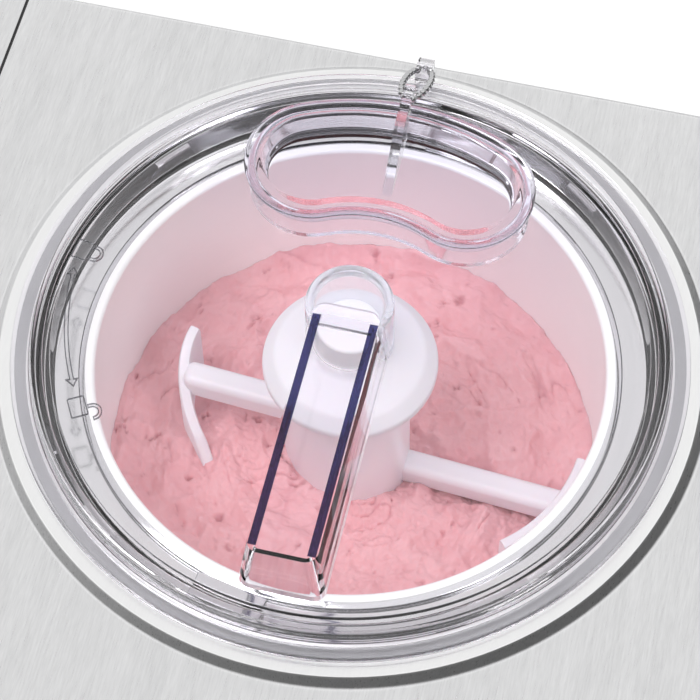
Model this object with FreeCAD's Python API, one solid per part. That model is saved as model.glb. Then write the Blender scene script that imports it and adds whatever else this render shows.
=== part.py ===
import FreeCAD, Part
import math
import os

V = FreeCAD.Vector

# Driving dimensions, millimetres. +X is to the right, +Y to the back, +Z up, origin on the floor
# at the middle of the case.

# Case
case_width = 430.0
case_depth = 300.0
panel_height = 230.0
foot_height = 12.0
foot_radius = 15.0
foot_taper = 2.0
foot_inset = 32.0
sheet = 1.2
case_corner_radius = 14.0
hat_skirt = 18.0
hat_bend_radius = 3.0
rear_step = 3.7
rear_window_margin = 24.0
tray_sheet = 1.5
tray_rim = 10.0
sheet_clearance = 0.2
console_seam = 1.2

# Bowl axis in the case
bowl_to_right_side = 150.0
bowl_to_back_edge = 133.0
bowl_to_seam = 159.0

# Raised ring of the top plate
ring_base_radius = 127.0
ring_crest_radius = 124.6
ring_height = 3.2
ring_fold = 6.0

# Lid
lid_radius = 120.0
lid_flange_width = 6.5
lid_flange_thickness = 2.0
lid_rise = 5.0
lid_step_width = 4.0
lid_wall = 2.6
lid_skirt_wall = 2.4
lid_skirt_drop = 10.2
lid_bead_height = 0.9
lid_bead_width = 2.6
lid_turn_to_lock = 20.0
lug_count = 4
lug_first_angle = 31.0
lug_arc = 5.4
lug_depth = 2.4
lug_height = 2.8
lug_clearance = 0.6
keeper_arc = 8.0
keeper_height = 2.2
keeper_gap = 0.4
seal_width = 4.0
seal_thickness = 1.0
seal_gap = 0.1
seal_inset = 1.5
tether_post_width = 6.0
tether_post_length = 10.0
tether_post_height = 9.0
tether_post_reach = 7.0

# Lid handle
boss_radius = 15.7
boss_bore = 12.7
boss_height = 25.0
boss_roof = 1.8
handle_height = 23.0
handle_top_width = 24.0
handle_foot_width = 30.0
handle_reach = 98.5
handle_draft = 2.5
handle_wall = 2.8

# Filling neck and its cap: an arc slot round the lid's axis
neck_arc_radius = 67.4
neck_half_angle = 24.8
neck_half_width = 24.7
neck_rim_overhang = 1.5
neck_wall = 2.2
neck_height = 13.0
cap_rim_thickness = 4.0
cap_clearance = 0.6
cap_wall = 2.2
cap_floor = 2.0
cap_dish_depth = 9.5
cap_dish_draft = 2.0
fin_thickness = 3.6
fin_front = 57.0
fin_rise = 16.0
fin_slope = 22.0
fin_overhang = 5.0
eye_radius = 2.3
eye_wall = 2.4

# Tether chain
chain_wire_radius = 1.1
chain_loop_half_width = 5.5

# Bowl
bowl_inner_radius = 91.0
bowl_wall = 1.8
bowl_floor = 2.0
bowl_lip_width = 6.0
bowl_lip_thickness = 2.2
bowl_lip_below_flange = 10.5
bowl_tube_bore = 9.0
bowl_tube_wall = 2.2
bowl_tube_press_gap = 0.05
bowl_tube_below_hub = 20.0
bowl_ear_width = 26.0
bowl_ear_reach = 6.0
bowl_ear_angle = 259.0
bowl_seat_gap = 0.3

# Well round the bowl
well_gap = 0.6
well_sheet = 1.0
well_wall_radius = 111.2
well_floor_gap = 1.0
well_flange_radius = 120.0
well_shaft_hole = 14.0
well_cup_flange = 4.0
well_cup_gap = 0.1

# Evaporator and insulation
evaporator_wall = 2.4
evaporator_end_gap = 10.5
evaporator_channels = 7
evaporator_channel_rise = 3.0
evaporator_channel_half = 4.0
insulation_thickness = 12.0
insulation_floor = 8.0
insulation_top_gap = 4.0

# Paddle
column_radius = 21.5
column_bore_clearance = 1.4
column_floor_gap = 0.8
cap_skirt_radius = 31.4
cap_skirt_height = 4.0
cap_dome_rise = 12.0
stub_radius = 11.6
stub_above_flange = 14.0
hub_below_flange = 14.0
paddle_angle = -4.0
arm_width = 10.0
arm_height = 12.0
left_arm_below_flange = 50.0
left_blade_below_flange = 46.0
right_arm_below_flange = 74.0
blade_thickness = 4.5
blade_floor_gap = 1.2
left_blade_x = -66.5
left_blade_y = 16.5
left_blade_heading = 260.0
left_blade_radius = 36.0
left_blade_sweep = 60.0
left_tail_radius = 30.0
left_tail_sweep = 40.0
left_tail_drop = 26.0
right_blade_x = 86.0
right_blade_y = 12.0
right_blade_heading = 268.0
right_blade_radius = 60.0
right_blade_sweep = 45.0
right_blade_below_flange = 60.0
foot_bar_height = 9.0

# Drive train
drive_room = 88.4
shaft_radius = 6.0
shaft_hex = 12.0
shaft_hex_length = 14.0
shaft_hex_clearance = 0.3
bush_clearance = 0.05
bush_wall = 4.0
bush_length = 10.0
gear_module = 1.25
gear_backlash = 0.3
gear_spread = 0.3
gear_addendum = 0.9
gear_dedendum = 1.25
gear_pressure_angle = 20.0
output_teeth = 72
second_pinion_teeth = 16
idler_teeth = 60
motor_pinion_teeth = 15
output_gear_width = 12.0
idler_gear_width = 8.0
pinion_overlap = 2.0
gear_side_gap = 2.0
idler_axle_radius = 4.0
motor_shaft_radius = 2.5
motor_radius = 31.0
motor_height = 40.0
gearbox_wall = 2.5
gearbox_cover = 4.0
gearbox_leg_radius = 6.0
gearbox_below_insulation = 0.5
seal_ring_height = 1.2
seal_ring_clearance = 0.1

# Cooling machine in the left bay
bay_gap = 8.0
compressor_radius = 50.0
compressor_to_board = 54.5
compressor_dome = 18.0
compressor_top_radius = 32.0
compressor_plate = 3.0
compressor_plate_half = 56.0
grommet_radius = 9.0
grommet_height = 18.0
compressor_to_back = 88.0
terminal_width = 34.0
terminal_height = 40.0
terminal_depth = 16.0
condenser_thickness = 28.0
condenser_to_compressor = 17.1
condenser_height = 126.0
condenser_web = 6.0
fin_pitch = 4.2
fin_gap = 2.8
fan_gap = 2.0
fan_thickness = 25.0
fan_inset = 11.0
fan_rim = 4.0
fan_hub_radius = 17.0
fan_blade_tip_gap = 2.0
fan_blades = 7
fan_blade_width = 20.0
fan_blade_thickness = 1.6
fan_blade_pitch = 38.0
fan_pin_radius = 1.5
fan_spider_thickness = 4.0
fan_spoke_width = 6.0
fan_end_gap = 1.2
pipe_radius = 3.0
pipe_bend = 12.0
capillary_radius = 1.3
drier_radius = 8.0
drier_length = 60.0
discharge_rise = 32.0
suction_rise = 47.0

# Controls on the console
fascia_width = 96.0
fascia_length = 130.0
fascia_thickness = 2.0
fascia_margin = 12.0
knob_radius = 21.0
knob_height = 17.0
knob_gap = 0.6
knob_shaft_radius = 3.0
knob_flutes = 24
knob_flute_radius = 1.6
knob_from_front = 36.0
button_radius = 8.0
button_height = 3.0
button_flange = 1.5
button_flange_thickness = 1.5
button_clearance = 0.3
button_travel = 2.0
button_spacing = 40.0
display_width = 62.0
display_length = 22.0
display_from_back = 20.0
display_thickness = 1.6
indicator_radius = 2.2
indicator_height = 0.6
board_thickness = 1.6
board_below_panel = 27.0
standoff_radius = 3.0
encoder_side = 16.0
switch_side = 10.0

# Power entry on the rear panel
inlet_width = 27.0
inlet_height = 20.0
inlet_depth = 18.0
inlet_flange = 3.0
inlet_flange_thickness = 2.0
inlet_wall = 1.8
inlet_from_left = 70.0
inlet_above_floor = 56.0
inlet_pin_width = 4.0
inlet_pin_thickness = 2.0
inlet_pin_spacing = 14.0
inlet_pin_length = 14.0
rocker_width = 13.0
rocker_height = 20.0
rocker_pivot_radius = 5.0
rocker_angle = 8.0
rocker_gap = 0.6
switch_from_inlet = 42.0

# Vents and fasteners
vent_slot_width = 3.6
vent_slot_height = 62.0
vent_pitch = 9.0
vent_count = 14
vent_above_floor = 60.0
rear_vent_count = 16
screw_head_radius = 3.4
screw_head_height = 2.0
screw_shank_radius = 1.5
screw_shank_length = 5.0
screw_from_edge = 8.0

# Heights and places that follow from the driving dimensions
half_width = case_width / 2
half_depth = case_depth / 2
bowl_x = half_width - bowl_to_right_side
bowl_y = half_depth - bowl_to_back_edge
seam_x = bowl_x - bowl_to_seam
crest_z = panel_height + ring_height
flange_bottom_z = crest_z + seal_gap + seal_thickness + seal_gap
flange_z = flange_bottom_z + lid_flange_thickness
disc_z = flange_z + lid_rise
disc_radius = lid_radius - lid_flange_width - lid_step_width
skirt_bottom_z = flange_z - lid_skirt_drop
lip_z = flange_z - bowl_lip_below_flange
lip_bottom_z = lip_z - bowl_lip_thickness
tray_top_z = foot_height + tray_sheet
gearbox_top_z = tray_top_z + drive_room
insulation_bottom_z = gearbox_top_z + gearbox_below_insulation
well_bottom_z = insulation_bottom_z + insulation_floor
well_floor_z = well_bottom_z + well_sheet
bowl_bottom_z = well_floor_z + well_floor_gap
bowl_floor_z = bowl_bottom_z + bowl_floor
hub_z = flange_z - hub_below_flange
bowl_outer_radius = bowl_inner_radius + bowl_wall
tube_top_z = hub_z - bowl_tube_below_hub
tube_outer_radius = bowl_tube_bore + bowl_tube_wall
well_seat_z = lip_bottom_z - bowl_seat_gap
well_radius = bowl_outer_radius + well_gap
ring_inner_radius = well_wall_radius + well_sheet + seal_gap
skirt_radius = well_wall_radius - lug_clearance - lug_depth
evaporator_radius = well_radius + well_sheet
insulation_radius = evaporator_radius + evaporator_wall + evaporator_channel_rise
column_z = bowl_floor_z + column_floor_gap
column_bore = tube_outer_radius + column_bore_clearance
hat_bottom_z = panel_height - hat_skirt
rear_wall_y = half_depth - rear_step
rear_face_y = rear_wall_y + sheet
compressor_y = rear_wall_y - compressor_to_back
condenser_y = -half_depth + sheet + bay_gap
condenser_length = compressor_y - compressor_plate_half - condenser_to_compressor - condenser_y
fan_side = condenser_length - 2 * fan_inset
fan_bore = fan_side / 2 - fan_rim
neck_top_z = disc_z + neck_height
cap_rim_z = neck_top_z + sheet_clearance + cap_rim_thickness
cap_floor_z = cap_rim_z - cap_dish_depth


def box(x0, x1, y0, y1, z0, z1):
    """Box between two corners."""
    return Part.makeBox(x1 - x0, y1 - y0, z1 - z0, V(x0, y0, z0))


def rod(radius, z0, z1, x=0.0, y=0.0):
    """Upright cylinder."""
    return Part.makeCylinder(radius, z1 - z0, V(x, y, z0))


def rod_x(radius, x0, x1, y, z):
    """Cylinder along X."""
    return Part.makeCylinder(radius, x1 - x0, V(x0, y, z), V(1, 0, 0))


def rod_y(radius, y0, y1, x, z):
    """Cylinder along Y."""
    return Part.makeCylinder(radius, y1 - y0, V(x, y0, z), V(0, 1, 0))


def tube(outer, inner, z0, z1, x=0.0, y=0.0):
    """Upright ring."""
    return rod(outer, z0, z1, x, y).cut(rod(inner, z0, z1, x, y))


def turned(profile):
    """Solid turned about the Z axis from (radius, height) corners."""
    points = [V(r, 0, z) for r, z in profile]
    face = Part.Face(Part.makePolygon(points + points[:1]))
    return face.revolve(V(0, 0, 0), V(0, 0, 1), 360)


def joined(shapes):
    """One solid from overlapping or touching solids."""
    first = shapes[0]
    whole = first.multiFuse(shapes[1:])
    return whole.removeSplitter()


def at_bowl(shape):
    """Moves a shape made about the Z axis to the bowl's axis."""
    moved = shape.copy()
    moved.translate(V(bowl_x, bowl_y, 0))
    return moved


def spun(shape, degrees):
    """Shape turned about the Z axis."""
    moved = shape.copy()
    moved.rotate(V(0, 0, 0), V(0, 0, 1), degrees)
    return moved


def round_prism(x0, x1, y0, y1, radius, z0, z1):
    """Upright prism on a rectangle with rounded corners."""
    k = radius * (1 - math.sqrt(0.5))
    edges = [
        Part.LineSegment(V(x0 + radius, y0, z0), V(x1 - radius, y0, z0)),
        Part.Arc(V(x1 - radius, y0, z0), V(x1 - k, y0 + k, z0), V(x1, y0 + radius, z0)),
        Part.LineSegment(V(x1, y0 + radius, z0), V(x1, y1 - radius, z0)),
        Part.Arc(V(x1, y1 - radius, z0), V(x1 - k, y1 - k, z0), V(x1 - radius, y1, z0)),
        Part.LineSegment(V(x1 - radius, y1, z0), V(x0 + radius, y1, z0)),
        Part.Arc(V(x0 + radius, y1, z0), V(x0 + k, y1 - k, z0), V(x0, y1 - radius, z0)),
        Part.LineSegment(V(x0, y1 - radius, z0), V(x0, y0 + radius, z0)),
        Part.Arc(V(x0, y0 + radius, z0), V(x0 + k, y0 + k, z0), V(x0 + radius, y0, z0)),
    ]
    wire = Part.Wire([edge.toShape() for edge in edges])
    return Part.Face(wire).extrude(V(0, 0, z1 - z0))


def edges_at(shape, z):
    """Edges that lie flat at one height."""
    level = []
    for edge in shape.Edges:
        if all(abs(vertex.Z - z) < 1e-6 for vertex in edge.Vertexes):
            level.append(edge)
    return level


def polar(radius, degrees, z=0.0):
    """Point at an angle round the Z axis."""
    angle = math.radians(degrees)
    return V(radius * math.cos(angle), radius * math.sin(angle), z)


def sector(inner, outer, degrees, arc, z0, z1):
    """Curved block between two radii, centred on an angle round the Z axis."""
    start = degrees - arc / 2
    end = degrees + arc / 2
    edges = [
        Part.Arc(polar(outer, start, z0), polar(outer, degrees, z0), polar(outer, end, z0)),
        Part.LineSegment(polar(outer, end, z0), polar(inner, end, z0)),
        Part.Arc(polar(inner, end, z0), polar(inner, degrees, z0), polar(inner, start, z0)),
        Part.LineSegment(polar(inner, start, z0), polar(outer, start, z0)),
    ]
    wire = Part.Wire([edge.toShape() for edge in edges])
    return Part.Face(wire).extrude(V(0, 0, z1 - z0))


def arc_slot_wire(half, z):
    """Kidney outline: a slot of one half width along an arc at the back of the lid."""
    right = 90 - neck_half_angle
    left = 90 + neck_half_angle
    centre_right = polar(neck_arc_radius, right, z)
    centre_left = polar(neck_arc_radius, left, z)
    outer = neck_arc_radius + half
    inner = neck_arc_radius - half
    end_right = centre_right + polar(half, right - 90)
    end_left = centre_left + polar(half, left + 90)
    edges = [
        Part.Arc(polar(outer, right, z), polar(outer, 90, z), polar(outer, left, z)),
        Part.Arc(polar(outer, left, z), end_left, polar(inner, left, z)),
        Part.Arc(polar(inner, left, z), polar(inner, 90, z), polar(inner, right, z)),
        Part.Arc(polar(inner, right, z), end_right, polar(outer, right, z)),
    ]
    return Part.Wire([edge.toShape() for edge in edges])


def arc_slot(half, z0, z1):
    """Upright kidney prism."""
    return Part.Face(arc_slot_wire(half, z0)).extrude(V(0, 0, z1 - z0))


def arc_slot_draft(half_bottom, half_top, z0, z1):
    """Kidney prism that widens from its floor to its mouth."""
    return Part.makeLoft([arc_slot_wire(half_bottom, z0), arc_slot_wire(half_top, z1)], True, True)


def bent_pipe(points, radius, bend):
    """Round bar along straight runs joined by tangent arcs of one bend radius."""
    edges = []
    start = points[0]
    for before, corner, after in zip(points, points[1:], points[2:]):
        inward = (before - corner).normalize()
        outward = (after - corner).normalize()
        half_turn = inward.getAngle(outward) / 2
        trim = bend / math.tan(half_turn)
        arc_start = corner + inward * trim
        arc_end = corner + outward * trim
        bisector = (inward + outward).normalize()
        arc_middle = corner + bisector * (bend / math.sin(half_turn) - bend)
        edges.append(Part.LineSegment(start, arc_start).toShape())
        edges.append(Part.Arc(arc_start, arc_middle, arc_end).toShape())
        start = arc_end
    edges.append(Part.LineSegment(start, points[-1]).toShape())
    path = Part.Wire(edges)
    circle = Part.makeCircle(radius, points[0], (points[1] - points[0]))
    return path.makePipeShell([Part.Wire([circle])], True, False)


def arc_band(start, heading, radius, sweep, z0, z1):
    """Upright curved plate that starts at a point and turns left or, with a negative sweep, right."""
    side = 1 if sweep > 0 else -1
    centre = start + polar(radius, heading + 90 * side)
    first = heading - 90 * side
    last = first + sweep
    middle = (first + last) / 2
    outer = radius + blade_thickness / 2
    inner = radius - blade_thickness / 2
    lift = V(0, 0, z0)
    corners = [centre + polar(r, a) + lift for r, a in (
        (outer, first), (outer, middle), (outer, last), (inner, last), (inner, middle), (inner, first))]
    edges = [
        Part.Arc(corners[0], corners[1], corners[2]),
        Part.LineSegment(corners[2], corners[3]),
        Part.Arc(corners[3], corners[4], corners[5]),
        Part.LineSegment(corners[5], corners[0]),
    ]
    wire = Part.Wire([edge.toShape() for edge in edges])
    plate = Part.Face(wire).extrude(V(0, 0, z1 - z0))
    return plate, centre, centre + polar(radius, last), heading + sweep


def gear(teeth, tooth_angle, z0, z1):
    """Spur gear with involute flanks and one tooth centred on a given angle."""
    pitch_radius = teeth * gear_module / 2
    pressure = math.radians(gear_pressure_angle)
    base_radius = pitch_radius * math.cos(pressure)
    tip_radius = pitch_radius + gear_addendum * gear_module
    root_radius = pitch_radius - gear_dedendum * gear_module
    flank_start = max(base_radius, root_radius)
    half_tooth = math.pi / (2 * teeth) - gear_backlash / (4 * pitch_radius)

    def half_angle(radius):
        roll = math.acos(min(1.0, base_radius / radius))
        widening = math.tan(pressure) - pressure
        return math.degrees(half_tooth + widening - (math.tan(roll) - roll))

    steps = 3
    radii = [flank_start + (tip_radius - flank_start) * i / steps for i in range(steps + 1)]
    edges = []
    for tooth in range(teeth):
        middle = tooth_angle + 360.0 * tooth / teeth
        next_middle = middle + 360.0 / teeth
        rising = [polar(r, middle - half_angle(r), z0) for r in radii]
        falling = [polar(r, middle + half_angle(r), z0) for r in reversed(radii)]
        root_start = polar(root_radius, middle - half_angle(flank_start), z0)
        root_end = polar(root_radius, middle + half_angle(flank_start), z0)
        next_root = polar(root_radius, next_middle - half_angle(flank_start), z0)
        if root_radius < base_radius:
            edges.append(Part.LineSegment(root_start, rising[0]).toShape())
        for flank in (rising, falling):
            curve = Part.BSplineCurve()
            curve.interpolate(flank)
            if flank is falling:
                tip = Part.Arc(rising[-1], polar(tip_radius, middle, z0), falling[0])
                edges.append(tip.toShape())
            edges.append(curve.toShape())
        if root_radius < base_radius:
            edges.append(Part.LineSegment(falling[-1], root_end).toShape())
        root_middle = polar(root_radius, (middle + next_middle) / 2, z0)
        edges.append(Part.Arc(root_end, root_middle, next_root).toShape())
    return Part.Face(Part.Wire(edges)).extrude(V(0, 0, z1 - z0))


def screw_group(places):
    """Pan-head screws, each given by its seat and the way its head points."""
    screws = []
    for seat, out in places:
        head = Part.makeCylinder(screw_head_radius, screw_head_height, seat, out)
        tip = seat - out * screw_shank_length
        shank = Part.makeCylinder(screw_shank_radius, screw_shank_length, tip, out)
        screws.append(joined([head, shank]))
    return screws


# Case

def foot_centres():
    """Places of the four feet."""
    x = half_width - foot_inset
    y = half_depth - foot_inset
    return [(-x, -y), (x, -y), (x, y), (-x, y)]


def build_case(parts):
    """Tray, feet, wrap-round shell, rear panel and the two steel top plates."""
    inner = sheet + sheet_clearance
    tray_x = half_width - inner
    tray_front = -half_depth + inner
    tray_back = rear_wall_y - inner
    tray_radius = case_corner_radius - inner
    rim_z = tray_top_z + tray_rim
    tray = round_prism(-tray_x, tray_x, tray_front, tray_back, tray_radius, foot_height, rim_z)
    hollow = round_prism(-tray_x + tray_sheet, tray_x - tray_sheet, tray_front + tray_sheet,
                         tray_back - tray_sheet, tray_radius - tray_sheet, tray_top_z, rim_z)
    tray = tray.cut(hollow)
    for x, y in foot_centres():
        tray = tray.cut(rod(screw_shank_radius, foot_height, tray_top_z, x, y))
    parts["base_tray"] = tray

    feet = []
    places = []
    recess = foot_height / 2
    for x, y in foot_centres():
        foot = Part.makeCone(foot_radius - foot_taper, foot_radius, foot_height, V(x, y, 0))
        foot = foot.cut(rod(screw_head_radius + sheet_clearance, 0, recess, x, y))
        foot = foot.cut(rod(screw_shank_radius, recess, foot_height, x, y))
        feet.append(foot)
        places.append((V(x, y, recess), V(0, 0, -1)))
    parts["rubber_feet"] = Part.makeCompound(feet)
    foot_screws = []
    for seat, out in places:
        head = Part.makeCylinder(screw_head_radius, screw_head_height, seat, out)
        shank = Part.makeCylinder(screw_shank_radius, tray_top_z - recess, seat, V(0, 0, 1))
        foot_screws.append(joined([head, shank]))
    parts["foot_screws"] = Part.makeCompound(foot_screws)

    shell = round_prism(-half_width, half_width, -half_depth, rear_wall_y, case_corner_radius,
                        foot_height, hat_bottom_z)
    cavity = round_prism(-half_width + sheet, half_width - sheet, -half_depth + sheet, rear_wall_y - sheet,
                         case_corner_radius - sheet, foot_height, hat_bottom_z)
    shell = shell.cut(cavity)
    window = box(-half_width + rear_window_margin, half_width - rear_window_margin, rear_wall_y - sheet,
                 rear_wall_y, foot_height + rear_window_margin, hat_bottom_z - rear_window_margin)
    slots = [window]
    for side in (-1, 1):
        for i in range(vent_count):
            y = (i - (vent_count - 1) / 2) * vent_pitch
            wall = side * (half_width - sheet / 2)
            slots.append(box(wall - sheet, wall + sheet, y - vent_slot_width / 2, y + vent_slot_width / 2,
                             vent_above_floor, vent_above_floor + vent_slot_height))
    parts["outer_shell"] = shell.cut(Part.makeCompound(slots))

    panel_x = half_width - case_corner_radius
    panel_low = foot_height + sheet
    panel_high = hat_bottom_z - sheet
    panel = box(-panel_x, panel_x, rear_wall_y, rear_face_y, panel_low, panel_high)
    cuts = []
    for i in range(rear_vent_count):
        x = bowl_x + (i - (rear_vent_count - 1) / 2) * vent_pitch
        cuts.append(box(x - vent_slot_width / 2, x + vent_slot_width / 2, rear_wall_y, rear_face_y,
                        vent_above_floor, vent_above_floor + vent_slot_height))
    inlet_x = -half_width + inlet_from_left
    switch_x = inlet_x + switch_from_inlet
    cuts.append(box(inlet_x - inlet_width / 2, inlet_x + inlet_width / 2, rear_wall_y, rear_face_y,
                    inlet_above_floor - inlet_height / 2, inlet_above_floor + inlet_height / 2))
    half = rocker_width / 2 + rocker_gap + inlet_wall
    tall = rocker_height / 2 + rocker_gap + inlet_wall
    cuts.append(box(switch_x - half, switch_x + half, rear_wall_y, rear_face_y,
                    inlet_above_floor - tall, inlet_above_floor + tall))
    screw_xs = (-panel_x + screw_from_edge, 0.0, panel_x - screw_from_edge)
    screw_zs = (panel_low + screw_from_edge, panel_high - screw_from_edge)
    places = [(V(x, rear_face_y, z), V(0, 1, 0)) for x in screw_xs for z in screw_zs]
    tips = rear_face_y - screw_shank_length
    holes = [rod_y(screw_shank_radius, tips, rear_face_y, seat.x, seat.z) for seat, out in places]
    parts["base_tray"] = parts["base_tray"].cut(Part.makeCompound(holes))
    parts["rear_panel"] = panel.cut(Part.makeCompound(cuts + holes))
    parts["outer_shell"] = parts["outer_shell"].cut(Part.makeCompound(holes))
    parts["case_screws"] = Part.makeCompound(screw_group(places))

    hat = round_prism(-half_width, half_width, -half_depth, half_depth, case_corner_radius,
                      hat_bottom_z, panel_height)
    hat = hat.makeFillet(hat_bend_radius, edges_at(hat, panel_height))
    under = round_prism(-half_width + sheet, half_width - sheet, -half_depth + sheet, half_depth - sheet,
                        case_corner_radius - sheet, hat_bottom_z, panel_height - sheet)
    under = under.makeFillet(hat_bend_radius - sheet, edges_at(under, panel_height - sheet))
    hat = hat.cut(under)
    gap = console_seam / 2
    right_half = box(seam_x + gap, half_width, -half_depth, half_depth, hat_bottom_z, panel_height)
    left_half = box(-half_width, seam_x - gap, -half_depth, half_depth, hat_bottom_z, panel_height)
    plate = hat.common(right_half).cut(at_bowl(rod(ring_base_radius, hat_bottom_z, panel_height)))
    lean = ring_base_radius - ring_crest_radius
    ring = turned([
        (ring_base_radius, panel_height - sheet),
        (ring_base_radius, panel_height),
        (ring_crest_radius, crest_z),
        (ring_inner_radius, crest_z),
        (ring_inner_radius, crest_z - ring_fold),
        (ring_inner_radius + sheet, crest_z - ring_fold),
        (ring_inner_radius + sheet, crest_z - sheet),
        (ring_crest_radius - sheet / 2, crest_z - sheet),
        (ring_crest_radius - sheet / 2 + lean, panel_height - sheet),
    ])
    parts["top_plate"] = joined([plate, at_bowl(ring)])
    parts["console_plate"] = hat.common(left_half)


# Well, evaporator and insulation

def build_well(parts):
    """Recess ring and well cup that take the bowl, the lid keepers, the evaporator jacket and the foam."""
    flange_top = crest_z - ring_fold
    parts["recess_ring"] = at_bowl(turned([
        (well_wall_radius, crest_z - sheet),
        (well_wall_radius, well_seat_z),
        (well_radius, well_seat_z),
        (well_radius, well_seat_z - well_sheet),
        (well_wall_radius + well_sheet, well_seat_z - well_sheet),
        (well_wall_radius + well_sheet, flange_top - well_sheet),
        (well_flange_radius, flange_top - well_sheet),
        (well_flange_radius, flange_top),
        (well_wall_radius + well_sheet, flange_top),
        (well_wall_radius + well_sheet, crest_z - sheet),
    ]))
    cup_top = well_seat_z - well_sheet - well_cup_gap
    parts["well_cup"] = at_bowl(turned([
        (well_radius, cup_top),
        (well_radius, well_floor_z),
        (well_shaft_hole, well_floor_z),
        (well_shaft_hole, well_bottom_z),
        (well_radius + well_sheet, well_bottom_z),
        (well_radius + well_sheet, cup_top - well_sheet),
        (well_radius + well_cup_flange, cup_top - well_sheet),
        (well_radius + well_cup_flange, cup_top),
    ]))

    keeper_top = crest_z - sheet
    inner = skirt_radius + lug_clearance
    keepers = []
    for i in range(lug_count):
        angle = lug_first_angle + lid_turn_to_lock + i * 360.0 / lug_count
        keepers.append(at_bowl(sector(inner, well_wall_radius, angle, keeper_arc,
                                      keeper_top - keeper_height, keeper_top)))
    parts["lid_keepers"] = Part.makeCompound(keepers)

    low = well_bottom_z + evaporator_end_gap
    high = well_seat_z - evaporator_end_gap
    outer = evaporator_radius + evaporator_wall
    profile = [(evaporator_radius, low), (outer, low)]
    pitch = (high - low) / evaporator_channels
    for i in range(evaporator_channels):
        middle = low + pitch * (i + 0.5)
        profile.append((outer, middle - evaporator_channel_half))
        profile.append((outer + evaporator_channel_rise, middle - evaporator_channel_half / 2))
        profile.append((outer + evaporator_channel_rise, middle + evaporator_channel_half / 2))
        profile.append((outer, middle + evaporator_channel_half))
    profile += [(outer, high), (evaporator_radius, high)]
    parts["evaporator_jacket"] = at_bowl(turned(profile))

    top = well_seat_z - well_sheet - insulation_top_gap
    wall = insulation_radius + insulation_thickness
    foam = turned([
        (well_shaft_hole, insulation_bottom_z),
        (wall, insulation_bottom_z),
        (wall, top),
        (insulation_radius, top),
        (insulation_radius, well_bottom_z),
        (well_shaft_hole, well_bottom_z),
    ])
    parts["well_insulation"] = at_bowl(foam)


# Bowl and paddle

def build_bowl(parts):
    """Lift-out bowl with two ears on its lip, and the centre tube pressed into its floor."""
    lip_radius = bowl_inner_radius + bowl_lip_width
    tube_hole = tube_outer_radius + bowl_tube_press_gap
    bowl = turned([
        (tube_hole, bowl_bottom_z),
        (bowl_outer_radius, bowl_bottom_z),
        (bowl_outer_radius, lip_bottom_z),
        (lip_radius, lip_bottom_z),
        (lip_radius, lip_z),
        (bowl_inner_radius, lip_z),
        (bowl_inner_radius, bowl_floor_z),
        (tube_hole, bowl_floor_z),
    ])
    ear_arc = math.degrees(bowl_ear_width / lip_radius)
    ear_root = bowl_inner_radius + bowl_lip_width / 2
    ear_end = lip_radius + bowl_ear_reach
    ears = [sector(ear_root, ear_end, bowl_ear_angle + turn, ear_arc, lip_bottom_z, lip_z)
            for turn in (0, 180)]
    parts["bowl"] = at_bowl(joined([bowl] + ears))
    parts["bowl_tube"] = at_bowl(tube(tube_outer_radius, bowl_tube_bore, bowl_bottom_z, tube_top_z))


def hex_prism(across_flats, z0, z1):
    """Upright hexagonal prism."""
    corner = across_flats / math.sqrt(3)
    points = [polar(corner, 60 * i, z0) for i in range(7)]
    return Part.Face(Part.makePolygon(points)).extrude(V(0, 0, z1 - z0))


def shaft_top_z():
    """Upper end of the drive shaft inside the paddle."""
    return tube_top_z + column_bore_clearance + shaft_hex_length


def build_paddle(parts):
    """Column with two arms and blades, and its domed cap."""
    bore_top = tube_top_z + column_bore_clearance
    socket = hex_prism(shaft_hex + 2 * shaft_hex_clearance, bore_top, shaft_top_z() + shaft_hex_clearance)
    hollow = joined([rod(column_bore, column_z, bore_top), socket])

    blade_low = bowl_floor_z + blade_floor_gap
    left_top = flange_z - left_arm_below_flange
    right_top = flange_z - right_arm_below_flange
    half = arm_width / 2
    left_start = V(left_blade_x, left_blade_y, 0)
    left_blade_top = flange_z - left_blade_below_flange
    left_blade, left_centre, point, heading = arc_band(left_start, left_blade_heading, left_blade_radius,
                                                       left_blade_sweep, blade_low, left_blade_top)
    left_tail = arc_band(point, heading, left_tail_radius, -left_tail_sweep, blade_low,
                         left_blade_top - left_tail_drop)[0]
    right_start = V(right_blade_x, right_blade_y, 0)
    right_blade_top = flange_z - right_blade_below_flange
    right_blade, right_centre = arc_band(right_start, right_blade_heading, right_blade_radius,
                                         -right_blade_sweep, blade_low, right_blade_top)[:2]
    half_blade = blade_thickness / 2
    left_reach = rod(left_blade_radius + half_blade, blade_low, flange_z, left_centre.x, left_centre.y)
    right_reach = rod(right_blade_radius + half_blade, blade_low, flange_z, right_centre.x, right_centre.y)
    left_bars = [box(-bowl_inner_radius, 0, -half, half, left_top - arm_height, left_top),
                 box(-bowl_inner_radius, 0, -half, half, blade_low, blade_low + foot_bar_height)]
    right_bars = [box(0, bowl_inner_radius, -half, half, right_top - arm_height, right_top),
                  box(0, bowl_inner_radius, -half, half, blade_low, blade_low + foot_bar_height)]
    bars = [bar.common(left_reach) for bar in left_bars] + [bar.common(right_reach) for bar in right_bars]
    frame = joined([rod(column_radius, column_z, hub_z), left_blade, left_tail, right_blade] + bars)
    body = spun(frame.cut(hollow), paddle_angle)
    parts["paddle_body"] = at_bowl(body)

    dome_z = hub_z + cap_skirt_height
    parts["paddle_cap"] = at_bowl(turned([
        (0, hub_z),
        (cap_skirt_radius, hub_z),
        (cap_skirt_radius, dome_z),
        (stub_radius, dome_z + cap_dome_rise),
        (stub_radius, flange_z + stub_above_flange),
        (0, flange_z + stub_above_flange),
    ]))



# Lid, handle, filling cap and tether

def tether_eye():
    """Centre of the eye on the lid's back rim."""
    return V(0, lid_radius + tether_post_reach - eye_radius - eye_wall, flange_bottom_z + tether_post_height
             - eye_radius - eye_wall)


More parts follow.
